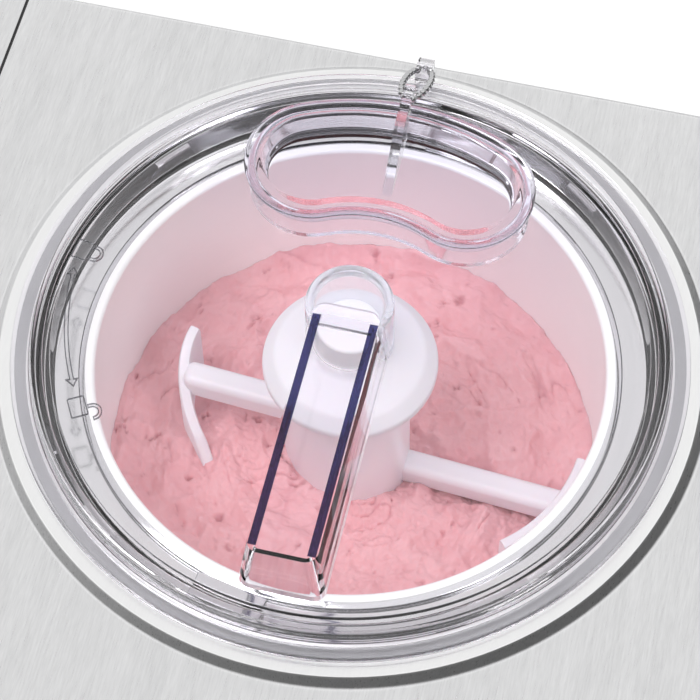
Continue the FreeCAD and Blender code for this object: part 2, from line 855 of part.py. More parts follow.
def cap_eye():
    """Centre of the eye at the top of the cap's fin."""
    back = neck_arc_radius + neck_half_width + fin_overhang - eye_radius - eye_wall
    return V(0, back, cap_floor_z + fin_rise - eye_radius - eye_wall)


def upright_plate(points, thickness):
    """Plate in the YZ plane, centred on X, from (y, z) corners."""
    corners = [V(-thickness / 2, y, z) for y, z in points]
    return Part.Face(Part.makePolygon(corners + corners[:1])).extrude(V(thickness, 0, 0))


def build_lid(parts):
    """Clear lid with its skirt, lugs and filling neck, the seal under its flange, and the handle."""
    step_radius = lid_radius - lid_flange_width
    bead_outer = disc_radius
    bead_inner = disc_radius - lid_bead_width
    bead_z = disc_z + lid_bead_height
    skirt_inner = skirt_radius - lid_skirt_wall
    disc_bottom_z = disc_z - lid_wall
    lid = turned([
        (boss_bore, disc_bottom_z),
        (skirt_inner, disc_bottom_z),
        (skirt_inner, skirt_bottom_z),
        (skirt_radius, skirt_bottom_z),
        (skirt_radius, flange_bottom_z),
        (lid_radius, flange_bottom_z),
        (lid_radius, flange_z),
        (step_radius, flange_z),
        (bead_outer, bead_z),
        (bead_inner, bead_z),
        (bead_inner, disc_z),
        (boss_bore, disc_z),
    ])
    neck_outer = neck_half_width - neck_rim_overhang
    neck_inner = neck_outer - neck_wall
    neck = arc_slot(neck_outer, disc_z, neck_top_z)
    opening = arc_slot(neck_inner, disc_bottom_z, neck_top_z)
    lugs = []
    lug_top = crest_z - sheet - keeper_height - keeper_gap
    for i in range(lug_count):
        angle = lug_first_angle + i * 360.0 / lug_count
        lugs.append(sector(skirt_inner + lid_skirt_wall / 2, skirt_radius + lug_depth, angle, lug_arc,
                           lug_top - lug_height, lug_top))
    post_end = lid_radius + tether_post_reach
    half = tether_post_width / 2
    post = box(-half, half, post_end - tether_post_length, post_end, flange_bottom_z,
               flange_bottom_z + tether_post_height)
    eye = tether_eye()
    eye_hole = rod_x(eye_radius, -half, half, eye.y, eye.z)
    lid = joined([lid, neck, post] + lugs).cut(opening).cut(eye_hole)
    parts["lid_shell"] = at_bowl(lid)

    seal_outer = lid_radius - seal_inset
    seal_low = crest_z + seal_gap
    seal_high = seal_low + seal_thickness
    parts["lid_seal"] = at_bowl(tube(seal_outer, seal_outer - seal_width, seal_low, seal_high))

    def handle_block(inset, low, high):
        outlines = []
        for half, reach, z in ((handle_foot_width / 2 - inset, handle_reach + handle_draft - inset, low),
                               (handle_top_width / 2 - inset, handle_reach - inset, high)):
            corners = [V(-half, -reach, z), V(half, -reach, z), V(half, 0, z), V(-half, 0, z)]
            outlines.append(Part.makePolygon(corners + corners[:1]))
        return Part.makeLoft(outlines, True, True)

    bar = handle_block(0.0, disc_z, disc_z + handle_height)
    inside = handle_block(handle_wall, disc_z, disc_z + handle_height - handle_wall)
    boss = rod(boss_radius, disc_z, disc_z + boss_height)
    core = rod(boss_bore, disc_z, disc_z + boss_height - boss_roof)
    handle = joined([bar.cut(inside.cut(boss)), boss]).cut(core)
    parts["lid_handle"] = at_bowl(handle)


def build_filling_cap(parts):
    """Kidney-shaped cap with a gripping fin, and the chain that ties it to the lid."""
    rim_low = neck_top_z + sheet_clearance
    plug_half = neck_half_width - neck_rim_overhang - neck_wall - cap_clearance
    dish_half = plug_half - cap_wall
    rim = arc_slot(neck_half_width, rim_low, cap_rim_z)
    plug = arc_slot(plug_half, cap_floor_z - cap_floor, cap_rim_z)
    dish = arc_slot_draft(dish_half - cap_dish_draft, dish_half, cap_floor_z, cap_rim_z)
    eye = cap_eye()
    ring = eye_radius + eye_wall
    fin_top = cap_floor_z + fin_rise
    fin = upright_plate([
        (fin_front, cap_floor_z - cap_floor / 2),
        (fin_front + fin_slope, fin_top),
        (eye.y, fin_top),
        (eye.y + ring, eye.z),
        (neck_arc_radius + neck_half_width, cap_rim_z - cap_rim_thickness / 2),
        (neck_arc_radius + dish_half, cap_rim_z - cap_rim_thickness / 2),
        (neck_arc_radius + dish_half - cap_dish_draft, cap_floor_z - cap_floor / 2),
    ], fin_thickness)
    knuckle = rod_x(ring, -fin_thickness / 2, fin_thickness / 2, eye.y, eye.z)
    hole = rod_x(eye_radius, -fin_thickness, fin_thickness, eye.y, eye.z)
    cap = joined([rim, plug]).cut(dish)
    parts["fill_cap"] = at_bowl(joined([cap, fin, knuckle]).cut(hole))

    near = cap_eye()
    far = tether_eye()
    along = far - near
    span = along.Length
    bend = chain_loop_half_width
    half_turn = 180.0
    straight = span - 2 * bend
    strands = [Part.makeCylinder(chain_wire_radius, straight, V(bend, side, 0), V(1, 0, 0))
               for side in (-bend, bend)]
    near_end = Part.makeTorus(bend, chain_wire_radius, V(bend, 0, 0), V(0, 0, 1), -180, 180, half_turn)
    near_end.rotate(V(bend, 0, 0), V(0, 0, 1), 90)
    far_end = Part.makeTorus(bend, chain_wire_radius, V(span - bend, 0, 0), V(0, 0, 1), -180, 180, half_turn)
    far_end.rotate(V(span - bend, 0, 0), V(0, 0, 1), -90)
    loop = joined(strands + [near_end, far_end])
    forward = V(along).normalize()
    across = V(1, 0, 0)
    upward = across.cross(forward)
    matrix = FreeCAD.Matrix(forward.x, across.x, upward.x, near.x,
                            forward.y, across.y, upward.y, near.y,
                            forward.z, across.z, upward.z, near.z)
    parts["cap_chain"] = at_bowl(loop.transformGeometry(matrix))


# Drive train under the well

def gear_distance(teeth, other):
    """Distance between the axes of two meshing gears."""
    return (teeth + other) * gear_module / 2 + gear_spread


def build_drive(parts):
    """Motor, two-stage gearbox, shaft, bushes and shaft seal."""
    idler_y = -gear_distance(output_teeth, second_pinion_teeth)
    motor_x = gear_distance(idler_teeth, motor_pinion_teeth)
    tip = gear_addendum * gear_module
    output_tip = output_teeth * gear_module / 2 + tip
    idler_tip = idler_teeth * gear_module / 2 + tip
    motor_tip = motor_pinion_teeth * gear_module / 2 + tip

    cover_z = gearbox_top_z - gearbox_cover
    output_high = cover_z - gear_side_gap
    output_low = output_high - output_gear_width
    idler_high = output_low - pinion_overlap - gear_side_gap
    idler_low = idler_high - idler_gear_width
    floor_z = idler_low - pinion_overlap - gear_side_gap
    tray_z = floor_z - gearbox_wall

    room = gear_side_gap
    x0 = -output_tip - room - gearbox_wall
    x1 = motor_x + motor_tip + room + gearbox_wall
    y0 = idler_y - idler_tip - room - gearbox_wall
    y1 = output_tip + room + gearbox_wall
    case = box(x0, x1, y0, y1, tray_z, cover_z)
    case = case.cut(box(x0 + gearbox_wall, x1 - gearbox_wall, y0 + gearbox_wall, y1 - gearbox_wall,
                        floor_z, cover_z))
    leg = gearbox_leg_radius
    legs = [rod(leg, tray_top_z, tray_z, x, y) for x in (x0 + leg, x1 - leg) for y in (y0 + leg, y1 - leg)]
    bush_outer = shaft_radius + bush_wall
    axle_boss = rod(idler_axle_radius + gearbox_wall, floor_z, idler_low - sheet_clearance, 0, idler_y)
    case = joined([case, axle_boss] + legs)
    case = case.cut(rod(bush_outer, tray_z, floor_z, 0, 0))
    case = case.cut(rod(idler_axle_radius, tray_z, idler_low, 0, idler_y))
    case = case.cut(rod(motor_shaft_radius + gearbox_wall, tray_z, floor_z, motor_x, idler_y))
    parts["gearbox_tray"] = at_bowl(case)

    cover = box(x0, x1, y0, y1, cover_z, gearbox_top_z)
    cover = cover.cut(rod(bush_outer, cover_z, gearbox_top_z))
    cover = cover.cut(rod(idler_axle_radius, cover_z, gearbox_top_z, 0, idler_y))
    parts["gearbox_cover"] = at_bowl(cover)

    bush_inner = shaft_radius + bush_clearance
    parts["lower_bush"] = at_bowl(tube(bush_outer, bush_inner, tray_z, tray_z + bush_length))
    bush_high = gearbox_top_z + bush_length
    parts["upper_bush"] = at_bowl(tube(bush_outer, bush_inner, cover_z, min(bush_high, well_bottom_z)))
    seal_low = well_bottom_z
    seal_inner = shaft_radius + seal_ring_clearance
    parts["shaft_seal"] = at_bowl(tube(well_shaft_hole, seal_inner, seal_low, seal_low + seal_ring_height))

    hex_low = shaft_top_z() - shaft_hex_length + shaft_hex_clearance
    round_shaft = rod(shaft_radius, tray_z, hex_low)
    hex_end = spun(hex_prism(shaft_hex, hex_low, shaft_top_z()), paddle_angle)
    parts["drive_shaft"] = at_bowl(joined([round_shaft, hex_end]))

    wheel = gear(output_teeth, -90.0, output_low, output_high)
    parts["output_gear"] = at_bowl(wheel.cut(rod(shaft_radius, output_low, output_high)))

    axle_high = gearbox_top_z
    axle = rod(idler_axle_radius, tray_z, axle_high)
    axle.translate(V(0, idler_y, 0))
    parts["idler_axle"] = at_bowl(axle)
    second_pinion_angle = 90.0 + 180.0 / second_pinion_teeth
    pinion = gear(second_pinion_teeth, second_pinion_angle, idler_high, output_high)
    idler = gear(idler_teeth, 0.0, idler_low, idler_high)
    idler = joined([idler, pinion]).cut(rod(idler_axle_radius + bush_clearance, idler_low, output_high))
    idler.translate(V(0, idler_y, 0))
    parts["idler_gear"] = at_bowl(idler)

    motor_low = tray_z - motor_height
    motor = rod(motor_radius, motor_low, tray_z)
    motor = motor.cut(rod(motor_shaft_radius + bush_clearance, motor_low + motor_height / 4, tray_z))
    motor.translate(V(motor_x, idler_y, 0))
    parts["drive_motor"] = at_bowl(motor)
    pinion_high = idler_high + pinion_overlap
    shaft = rod(motor_shaft_radius, motor_low + motor_height / 4 + bush_clearance, pinion_high)
    shaft.translate(V(motor_x, idler_y, 0))
    parts["motor_shaft"] = at_bowl(shaft)
    pinion_low = idler_low - pinion_overlap
    motor_pinion = gear(motor_pinion_teeth, 180.0 + 180.0 / motor_pinion_teeth, pinion_low, pinion_high)
    motor_pinion = motor_pinion.cut(rod(motor_shaft_radius, pinion_low, pinion_high))
    motor_pinion.translate(V(motor_x, idler_y, 0))
    parts["motor_pinion"] = at_bowl(motor_pinion)


# Cooling machine

def build_cooling(parts):
    """Compressor on rubber mounts, condenser, fan, drier and refrigerant lines."""
    compressor_x = -half_width + sheet + bay_gap + tray_sheet + compressor_plate_half
    plate_z = tray_top_z + grommet_height
    can_low = plate_z + compressor_plate
    can_high = panel_height - board_below_panel - compressor_to_board
    can = turned([
        (0, can_low),
        (compressor_radius, can_low),
        (compressor_radius, can_high - compressor_dome),
        (compressor_top_radius, can_high),
        (0, can_high),
    ])
    plate = box(-compressor_plate_half, compressor_plate_half, -compressor_plate_half, compressor_plate_half,
                plate_z, can_low)
    compressor = joined([can, plate])
    compressor.translate(V(compressor_x, compressor_y, 0))
    parts["compressor"] = compressor
    corner = compressor_plate_half - grommet_radius
    parts["compressor_grommets"] = Part.makeCompound([
        rod(grommet_radius, tray_top_z, plate_z, compressor_x + sx * corner, compressor_y + sy * corner)
        for sx in (-1, 1) for sy in (-1, 1)])
    cover_z = (can_low + can_high - compressor_dome) / 2
    cover_low = cover_z - terminal_height / 2
    cover = box(compressor_radius - terminal_depth, compressor_radius + terminal_depth, -terminal_width / 2,
                terminal_width / 2, cover_low, cover_low + terminal_height)
    cover = cover.cut(rod(compressor_radius, cover_low, cover_low + terminal_height))
    cover.translate(V(compressor_x, compressor_y, 0))
    parts["terminal_cover"] = cover

    condenser_x = -half_width + sheet + bay_gap
    condenser_end = condenser_x + condenser_thickness
    condenser_back = condenser_y + condenser_length
    condenser_high = tray_top_z + condenser_height
    block = box(condenser_x, condenser_end, condenser_y, condenser_back, tray_top_z, condenser_high)
    slots = []
    count = int((condenser_length - fin_pitch) / fin_pitch)
    for i in range(count):
        y = condenser_y + fin_pitch * (i + 0.5)
        slots.append(box(condenser_x, condenser_end - condenser_web, y, y + fin_gap,
                         tray_top_z + condenser_web, condenser_high - condenser_web))
    parts["condenser"] = block.cut(Part.makeCompound(slots))

    fan_x = condenser_end + fan_gap
    fan_end = fan_x + fan_thickness
    fan_y = condenser_y + condenser_length / 2
    fan_z = tray_top_z + fan_side / 2
    frame = box(fan_x, fan_end, fan_y - fan_side / 2, fan_y + fan_side / 2, tray_top_z, tray_top_z + fan_side)
    frame = frame.cut(rod_x(fan_bore, fan_x, fan_end, fan_y, fan_z))
    spider_x = fan_end - fan_spider_thickness
    spider = [rod_x(fan_hub_radius, spider_x, fan_end, fan_y, fan_z)]
    for turn in (90, 210, 330):
        half = fan_spoke_width / 2
        spoke = box(spider_x, fan_end, -half, half, 0, fan_bore + fan_spoke_width)
        spoke.rotate(V(0, 0, 0), V(1, 0, 0), turn)
        spoke.translate(V(0, fan_y, fan_z))
        spider.append(spoke.common(rod_x(fan_bore + gearbox_wall, spider_x, fan_end, fan_y, fan_z)))
    frame = joined([frame] + spider)
    pin_hole = rod_x(fan_pin_radius + bush_clearance, spider_x, fan_end, fan_y, fan_z)
    parts["fan_frame"] = frame.cut(pin_hole)
    hub_low = fan_x + fan_end_gap
    hub_high = spider_x - fan_end_gap
    hub = rod_x(fan_hub_radius, hub_low, hub_high, fan_y, fan_z)
    pin = rod_x(fan_pin_radius, hub_low, fan_end, fan_y, fan_z)
    blades = []
    reach = fan_bore - fan_blade_tip_gap
    hub_middle = (hub_low + hub_high) / 2
    swept = rod_x(reach, hub_low, hub_high, fan_y, fan_z)
    for i in range(fan_blades):
        half = fan_blade_thickness / 2
        blade = box(-half, half, -fan_blade_width / 2, fan_blade_width / 2, fan_hub_radius / 2, fan_bore)
        blade.rotate(V(0, 0, 0), V(0, 0, 1), fan_blade_pitch)
        blade.rotate(V(0, 0, 0), V(1, 0, 0), 360.0 * i / fan_blades)
        blade.translate(V(hub_middle, fan_y, fan_z))
        blades.append(blade.common(swept))
    parts["fan_rotor"] = joined([hub, pin] + blades)

    drier_x = fan_end + bay_gap + drier_radius + pipe_bend
    drier_y = condenser_y + drier_radius
    liquid_z = tray_top_z + condenser_web / 2 + tray_rim
    drier_low = liquid_z + pipe_bend + drier_radius
    drier_high = drier_low + drier_length
    drier = rod(drier_radius, drier_low, drier_high, drier_x, drier_y)
    parts["filter_drier"] = drier
    liquid = [V(condenser_end, drier_y, liquid_z), V(drier_x, drier_y, liquid_z),
              V(drier_x, drier_y, drier_low)]
    parts["liquid_line"] = bent_pipe(liquid, pipe_radius, pipe_bend)

    discharge_z = can_high + discharge_rise
    condenser_mid = (condenser_x + condenser_end) / 2
    from_can = compressor_y - compressor_top_radius / 2
    discharge = [V(compressor_x, from_can, can_high), V(compressor_x, from_can, discharge_z),
                 V(condenser_mid, from_can, discharge_z), V(condenser_mid, fan_y, discharge_z),
                 V(condenser_mid, fan_y, condenser_high)]
    parts["discharge_line"] = bent_pipe(discharge, pipe_radius, pipe_bend)

    jacket = evaporator_radius + evaporator_wall
    suction_z = can_high + suction_rise
    suction_y = bowl_y
    suction_x = compressor_x + compressor_top_radius / 2
    to_can = compressor_y + compressor_top_radius / 2
    suction = [V(bowl_x - jacket, suction_y, suction_z), V(suction_x, suction_y, suction_z),
               V(suction_x, to_can, suction_z), V(suction_x, to_can, can_high)]
    parts["suction_line"] = bent_pipe(suction, pipe_radius, pipe_bend)
    capillary_z = can_high + (discharge_rise + suction_rise) / 4
    capillary = [V(drier_x, drier_y, drier_high), V(drier_x, drier_y, capillary_z),
                 V(drier_x, suction_y, capillary_z), V(bowl_x - jacket, suction_y, capillary_z)]
    parts["capillary_line"] = bent_pipe(capillary, capillary_radius, pipe_bend)
    pipe_holes = [rod_x(pipe_radius + sheet_clearance, seam_x, bowl_x - jacket, suction_y, suction_z),
                  rod_x(capillary_radius + sheet_clearance, seam_x, bowl_x - jacket, suction_y, capillary_z)]
    parts["well_insulation"] = parts["well_insulation"].cut(Part.makeCompound(pipe_holes))
    shave = at_bowl(rod(jacket, well_bottom_z, flange_z))
    channels = at_bowl(channel_relief(suction_z, capillary_z))
    parts["evaporator_jacket"] = parts["evaporator_jacket"].cut(channels)
    parts["suction_line"] = parts["suction_line"].cut(shave)
    parts["capillary_line"] = parts["capillary_line"].cut(shave)


def channel_relief(suction_z, capillary_z):
    """Room in the jacket's raised channels where the two lines meet its wall."""
    jacket = evaporator_radius + evaporator_wall
    reach = jacket + 2 * evaporator_channel_rise
    reliefs = []
    for radius, z in ((pipe_radius, suction_z), (capillary_radius, capillary_z)):
        plug = rod_x(radius + sheet_clearance, -reach, 0, 0, z)
        reliefs.append(plug.cut(rod(jacket, z - 2 * pipe_radius, z + 2 * pipe_radius)))
    return Part.makeCompound(reliefs)


# Controls

def build_controls(parts):
    """Fascia, display, knob, buttons, circuit board and its switches on the console."""
    console_low = -half_width
    fascia_x = (console_low + seam_x) / 2
    x0 = fascia_x - fascia_width / 2
    x1 = fascia_x + fascia_width / 2
    y0 = -half_depth + fascia_margin
    y1 = y0 + fascia_length
    top = panel_height + fascia_thickness
    knob_y = y0 + knob_from_front
    display_y = y1 - display_from_back
    button_y = (y0 + knob_from_front + knob_radius + display_y - display_length / 2) / 2
    plate_bottom = panel_height - sheet

    fascia = round_prism(x0, x1, y0, y1, fascia_margin / 2, panel_height, top)
    button_xs = (fascia_x - button_spacing / 2, fascia_x + button_spacing / 2)
    through = [rod(button_radius + button_clearance, plate_bottom, top, x, button_y) for x in button_xs]
    through.append(rod(knob_shaft_radius + button_clearance, plate_bottom, top, fascia_x, knob_y))
    pocket = box(fascia_x - display_width / 2, fascia_x + display_width / 2, display_y - display_length / 2,
                 display_y + display_length / 2, top - display_thickness, top)
    lamps = []
    for x in button_xs:
        lamp_y = button_y - button_radius - 2 * indicator_radius
        lamps.append(rod(indicator_radius, panel_height, top + indicator_height, x, lamp_y))
    parts["control_fascia"] = fascia.cut(Part.makeCompound(through + [pocket] + lamps))
    parts["console_plate"] = parts["console_plate"].cut(Part.makeCompound(through))
    parts["display_lens"] = pocket
    parts["indicator_lenses"] = Part.makeCompound(lamps)

    knob_low = top + knob_gap
    board_top = panel_height - board_below_panel
    encoder_floor = board_top + encoder_side / 2
    knob = rod(knob_radius, knob_low, knob_low + knob_height, fascia_x, knob_y)
    knob = knob.makeFillet(fascia_thickness, edges_at(knob, knob_low + knob_height))
    flutes = []
    for i in range(knob_flutes):
        place = polar(knob_radius + knob_flute_radius / 2, 360.0 * i / knob_flutes)
        flutes.append(rod(knob_flute_radius, knob_low, knob_low + knob_height, fascia_x + place.x,
                          knob_y + place.y))
    knob = knob.cut(Part.makeCompound(flutes))
    stem = rod(knob_shaft_radius, encoder_floor + button_clearance, knob_low, fascia_x, knob_y)
    parts["timer_knob"] = joined([knob, stem])
    half = encoder_side / 2
    encoder = box(fascia_x - half, fascia_x + half, knob_y - half, knob_y + half, board_top, plate_bottom)
    stem_bore = knob_shaft_radius + bush_clearance
    parts["timer_encoder"] = encoder.cut(rod(stem_bore, encoder_floor, plate_bottom, fascia_x, knob_y))

    flange_top = plate_bottom - button_clearance
    flange_low = flange_top - button_flange_thickness
    for name, x in zip(("start_button", "cool_button"), button_xs):
        cap = rod(button_radius, flange_low, top + button_height, x, button_y)
        cap = cap.makeFillet(button_clearance * 3, edges_at(cap, top + button_height))
        collar = rod(button_radius + button_flange, flange_low, flange_top, x, button_y)
        parts[name] = joined([cap, collar])
    half = switch_side / 2
    switch_top = flange_low - button_travel - button_clearance
    parts["button_switches"] = Part.makeCompound([
        box(x - half, x + half, button_y - half, button_y + half, board_top, switch_top) for x in button_xs])

    board_edge = standoff_radius + sheet
    board = box(x0, x1, y0, y1, board_top - board_thickness, board_top)
    parts["control_board"] = board
    parts["board_standoffs"] = Part.makeCompound([
        rod(standoff_radius, board_top, plate_bottom, x, y)
        for x in (x0 + board_edge, x1 - board_edge) for y in (y0 + board_edge, y1 - board_edge)])


# Power entry

def build_power_entry(parts):
    """Mains inlet with its three pins, and the rocker switch beside it."""
    x = -half_width + inlet_from_left
    z = inlet_above_floor
    hw = inlet_width / 2
    hh = inlet_height / 2
    inside = rear_wall_y - inlet_depth
    front = rear_face_y + inlet_flange_thickness
    body = box(x - hw, x + hw, inside, rear_face_y, z - hh, z + hh)
    flange = box(x - hw - inlet_flange, x + hw + inlet_flange, rear_face_y, front, z - hh - inlet_flange,
                 z + hh + inlet_flange)
    socket = box(x - hw + inlet_wall, x + hw - inlet_wall, inside + inlet_wall, front, z - hh + inlet_wall,
                 z + hh - inlet_wall)
    parts["power_inlet"] = joined([body, flange]).cut(socket)
    pin_y = inside + inlet_wall
    raise_middle = inlet_pin_width
    pins = []
    for dx, dz in ((-inlet_pin_spacing / 2, 0.0), (0.0, raise_middle), (inlet_pin_spacing / 2, 0.0)):
        pins.append(box(x + dx - inlet_pin_thickness / 2, x + dx + inlet_pin_thickness / 2, pin_y,
                        pin_y + inlet_pin_length, z + dz - inlet_pin_width / 2, z + dz + inlet_pin_width / 2))
    parts["inlet_pins"] = Part.makeCompound(pins)

    sx = x + switch_from_inlet
    hw = rocker_width / 2 + rocker_gap
    hh = rocker_height / 2 + rocker_gap
    housing = box(sx - hw - inlet_wall, sx + hw + inlet_wall, inside, rear_face_y, z - hh - inlet_wall,
                  z + hh + inlet_wall)
    bezel = box(sx - hw - inlet_flange, sx + hw + inlet_flange, rear_face_y,
                rear_face_y + inlet_flange_thickness / 2, z - hh - inlet_flange, z + hh + inlet_flange)
    mouth = box(sx - hw, sx + hw, inside + inlet_wall, front, z - hh, z + hh)
    pivot_y = rear_face_y - rocker_pivot_radius
    switch = joined([housing, bezel]).cut(mouth)
    pin_bore = screw_shank_radius + bush_clearance
    pin_hole = rod_x(pin_bore, sx - hw - inlet_wall, sx + hw + inlet_wall, pivot_y, z)
    parts["power_switch"] = switch.cut(pin_hole)
    lean = math.radians(rocker_angle)
    half = rocker_height / 2
    face_y = rear_face_y + rocker_gap
    drop = half * math.tan(lean)
    profile = [(pivot_y, z - half + rocker_gap), (face_y - drop, z - half + rocker_gap), (face_y, z),
               (face_y, z + half - rocker_gap), (pivot_y, z + half - rocker_gap),
               (pivot_y - rocker_pivot_radius, z)]
    rocker = upright_plate(profile, rocker_width)
    rocker.translate(V(sx, 0, 0))
    axle = rod_x(screw_shank_radius, sx - hw - inlet_wall, sx + hw + inlet_wall, pivot_y, z)
    parts["power_rocker"] = joined([rocker, axle])


def build():
    """Every sub-part by name."""
    parts = {}
    build_case(parts)
    build_well(parts)
    build_bowl(parts)
    build_paddle(parts)
    build_lid(parts)
    build_filling_cap(parts)
    build_drive(parts)
    build_cooling(parts)
    build_controls(parts)
    build_power_entry(parts)
    return parts


os.makedirs("parts", exist_ok=True)
for name, shape in build().items():
    shape.exportStep("parts/" + name + ".step")
    print(name, len(shape.Solids), shape.isValid(), round(shape.Volume), "mm3")
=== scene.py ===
"""Dressed model of a worktop ice cream maker: steel case, lift-out bowl, white paddle and clear lid."""

import logging
import math
from dataclasses import dataclass
from enum import Enum
from typing import Callable, Dict, List, Optional, Sequence, Tuple

import bmesh
import bpy
from bmesh.types import BMesh
from bpy.types import ID, Material, Mesh, Node, NodeOutputs, NodeSocket, NodeTree, Object
from mathutils import Matrix, Vector, noise


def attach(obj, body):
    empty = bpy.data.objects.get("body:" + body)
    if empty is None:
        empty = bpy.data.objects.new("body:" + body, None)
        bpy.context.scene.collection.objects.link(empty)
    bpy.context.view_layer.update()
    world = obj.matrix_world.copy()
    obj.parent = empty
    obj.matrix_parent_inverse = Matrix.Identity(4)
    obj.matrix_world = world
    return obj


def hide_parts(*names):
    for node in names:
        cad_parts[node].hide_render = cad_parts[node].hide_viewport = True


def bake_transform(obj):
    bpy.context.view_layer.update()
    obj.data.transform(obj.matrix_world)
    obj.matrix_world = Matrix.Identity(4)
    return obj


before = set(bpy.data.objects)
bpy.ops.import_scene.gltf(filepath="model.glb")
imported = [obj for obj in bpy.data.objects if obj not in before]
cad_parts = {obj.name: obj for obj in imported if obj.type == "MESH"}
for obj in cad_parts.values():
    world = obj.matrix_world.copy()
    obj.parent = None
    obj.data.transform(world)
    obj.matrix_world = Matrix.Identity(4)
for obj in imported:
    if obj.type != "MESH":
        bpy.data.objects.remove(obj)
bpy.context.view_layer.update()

Corner = Tuple[float, float, float]
Colour = Tuple[float, float, float]
Flat = Tuple[float, float]
Loop = List[Vector]
Place = Callable[[float, float, float], Vector]

LOG = logging.getLogger("ice_cream_maker")
MM = 0.001
FULL_TURN = 2 * math.pi
ROUND_STEPS = 160
CORNER_STEPS = 6
MOST_OF_SIDE = 0.49

# The bowl's upright axis, and the levels of the case's top, its raised ring and the lid's flange
BOWL_AXIS = Vector((65.0 * MM, 17.0 * MM, 0.0))
PANEL_Z = 230.0 * MM
CREST_Z = 233.2 * MM
FLANGE_Z = 236.4 * MM

# Millimetres from the bowl's axis and the flange plane
DISC_TOP = 5.0
FIN_EYE: Flat = (92.4, 24.0)
POST_EYE: Flat = (122.3, 2.3)
EYE_RADIUS = 2.3

# Turn of the paddle about the bowl's axis at rest
PADDLE_ANGLE = math.radians(-4.0)


# Mesh tools

class Carving(Enum):
    """Way that one mesh changes another."""

    JOIN = "UNION"
    CUT = "DIFFERENCE"


def fillet_path(corners: Sequence[Corner], closed: bool = False) -> List[Flat]:
    """Path through corners, each rounded by its own radius.

    Args:
        corners: (u, v, radius) of each corner in millimetres.
        closed: Whether the last corner joins the first.

    Returns:
        Points along the path, in metres.
    """
    points: List[Flat] = []
    count = len(corners)
    for i, (u, v, radius) in enumerate(corners):
        here = Vector((u, v))
        at_end = not closed and i in (0, count - 1)
        if at_end or radius <= 0:
            points.append((u * MM, v * MM))
            continue
        back = Vector(corners[i - 1][:2]) - here
        ahead = Vector(corners[(i + 1) % count][:2]) - here
        half = back.angle(ahead) / 2
        trim = min(radius / math.tan(half), MOST_OF_SIDE * back.length, MOST_OF_SIDE * ahead.length)
        fitted = trim * math.tan(half)
        bisector = (back.normalized() + ahead.normalized()).normalized()
        centre = here + bisector * (fitted / math.sin(half))
        first = here + back.normalized() * trim - centre
        last = here + ahead.normalized() * trim - centre
        turn = first.angle_signed(last)
        for step in range(CORNER_STEPS + 1):
            swung = first.copy()
            swung.rotate(Matrix.Rotation(-turn * step / CORNER_STEPS, 2))
            points.append(((centre.x + swung.x) * MM, (centre.y + swung.y) * MM))
    return points


def in_metres(points: Sequence[Flat]) -> List[Flat]:
    """Flat points in metres, from millimetres."""
    return [(u * MM, v * MM) for u, v in points]


def lid_point(x: float, y: float, z: float) -> Vector:
    """Point given in millimetres from the bowl's axis and the lid's flange plane."""
    return BOWL_AXIS + Vector((x * MM, y * MM, FLANGE_Z + z * MM))


def ring(radius: float, z: float, steps: int = ROUND_STEPS, centre: Vector = BOWL_AXIS) -> Loop:
    """Level circle of points round an upright axis."""
    return [Vector((centre.x + radius * math.cos(FULL_TURN * i / steps),
                    centre.y + radius * math.sin(FULL_TURN * i / steps), z)) for i in range(steps)]


def arc(centre: Vector, radius: float, start: float, end: float, steps: int) -> Loop:
    """Level arc of points between two directions, without its last point."""
    turns = [start + (end - start) * i / steps for i in range(steps)]
    return [centre + Vector((radius * math.cos(turn), radius * math.sin(turn), 0)) for turn in turns]


def add_loops(bm: BMesh, loops: Sequence[Loop], closed: bool = True) -> None:
    """Skins successive loops of equal count with quads.

    Args:
        bm: Mesh to add to.
        loops: Point loops in order.
        closed: Whether each loop joins its own start.
    """
    rows = [[bm.verts.new(point) for point in loop] for loop in loops]
    count = len(rows[0])
    span = count if closed else count - 1
    for low, high in zip(rows, rows[1:]):
        for i in range(span):
            j = (i + 1) % count
            bm.faces.new((low[i], low[j], high[j], high[i]))


def add_fill(bm: BMesh, loops: Sequence[Loop]) -> None:
    """Fills the flat area inside the first loop and outside the others.

    Args:
        bm: Mesh to add to.
        loops: Outer loop, then the loops of its holes.
    """
    edges = []
    for loop in loops:
        verts = [bm.verts.new(point) for point in loop]
        edges += [bm.edges.new((verts[i - 1], verts[i])) for i in range(len(verts))]
    bmesh.ops.triangle_fill(bm, edges=edges, use_beauty=True, use_dissolve=False)


def add_capped(bm: BMesh, loops: Sequence[Loop]) -> None:
    """Skins loops and fills the first and the last.

    Args:
        bm: Mesh to add to.
        loops: Flat point loops in order.
    """
    add_loops(bm, loops)
    for loop in (loops[0], loops[-1]):
        add_fill(bm, [loop])


def add_turned(bm: BMesh, profile: Sequence[Flat], base_z: float = 0.0,
               closed: bool = False, centre: Vector = BOWL_AXIS, steps: int = ROUND_STEPS) -> None:
    """Turns a profile about an upright axis.

    Args:
        bm: Mesh to add to.
        profile: (radius, height) of its points.
        base_z: Level that the heights count from.
        closed: Whether the last point joins the first.
        centre: Place of the axis.
        steps: Steps round the axis.
    """
    loops = [ring(max(radius, 0.0), z + base_z, steps, centre) for radius, z in profile]
    if closed:
        loops.append(loops[0])
    add_loops(bm, loops)


def add_block(bm: BMesh, low: Vector, high: Vector, turn: float = 0.0) -> None:
    """Box between two corners, turned about the bowl's axis.

    Args:
        bm: Mesh to add to.
        low: Corner with the least coordinates.
        high: Opposite corner.
        turn: Angle of the turn in radians.
    """
    made = bmesh.ops.create_cube(bm, size=1.0)["verts"]
    size = high - low
    middle = (low + high) / 2
    for vert in made:
        vert.co = Vector((vert.co.x * size.x, vert.co.y * size.y, vert.co.z * size.z)) + middle
    if turn:
        bmesh.ops.rotate(bm, verts=made, cent=BOWL_AXIS, matrix=Matrix.Rotation(turn, 3, "Z"))


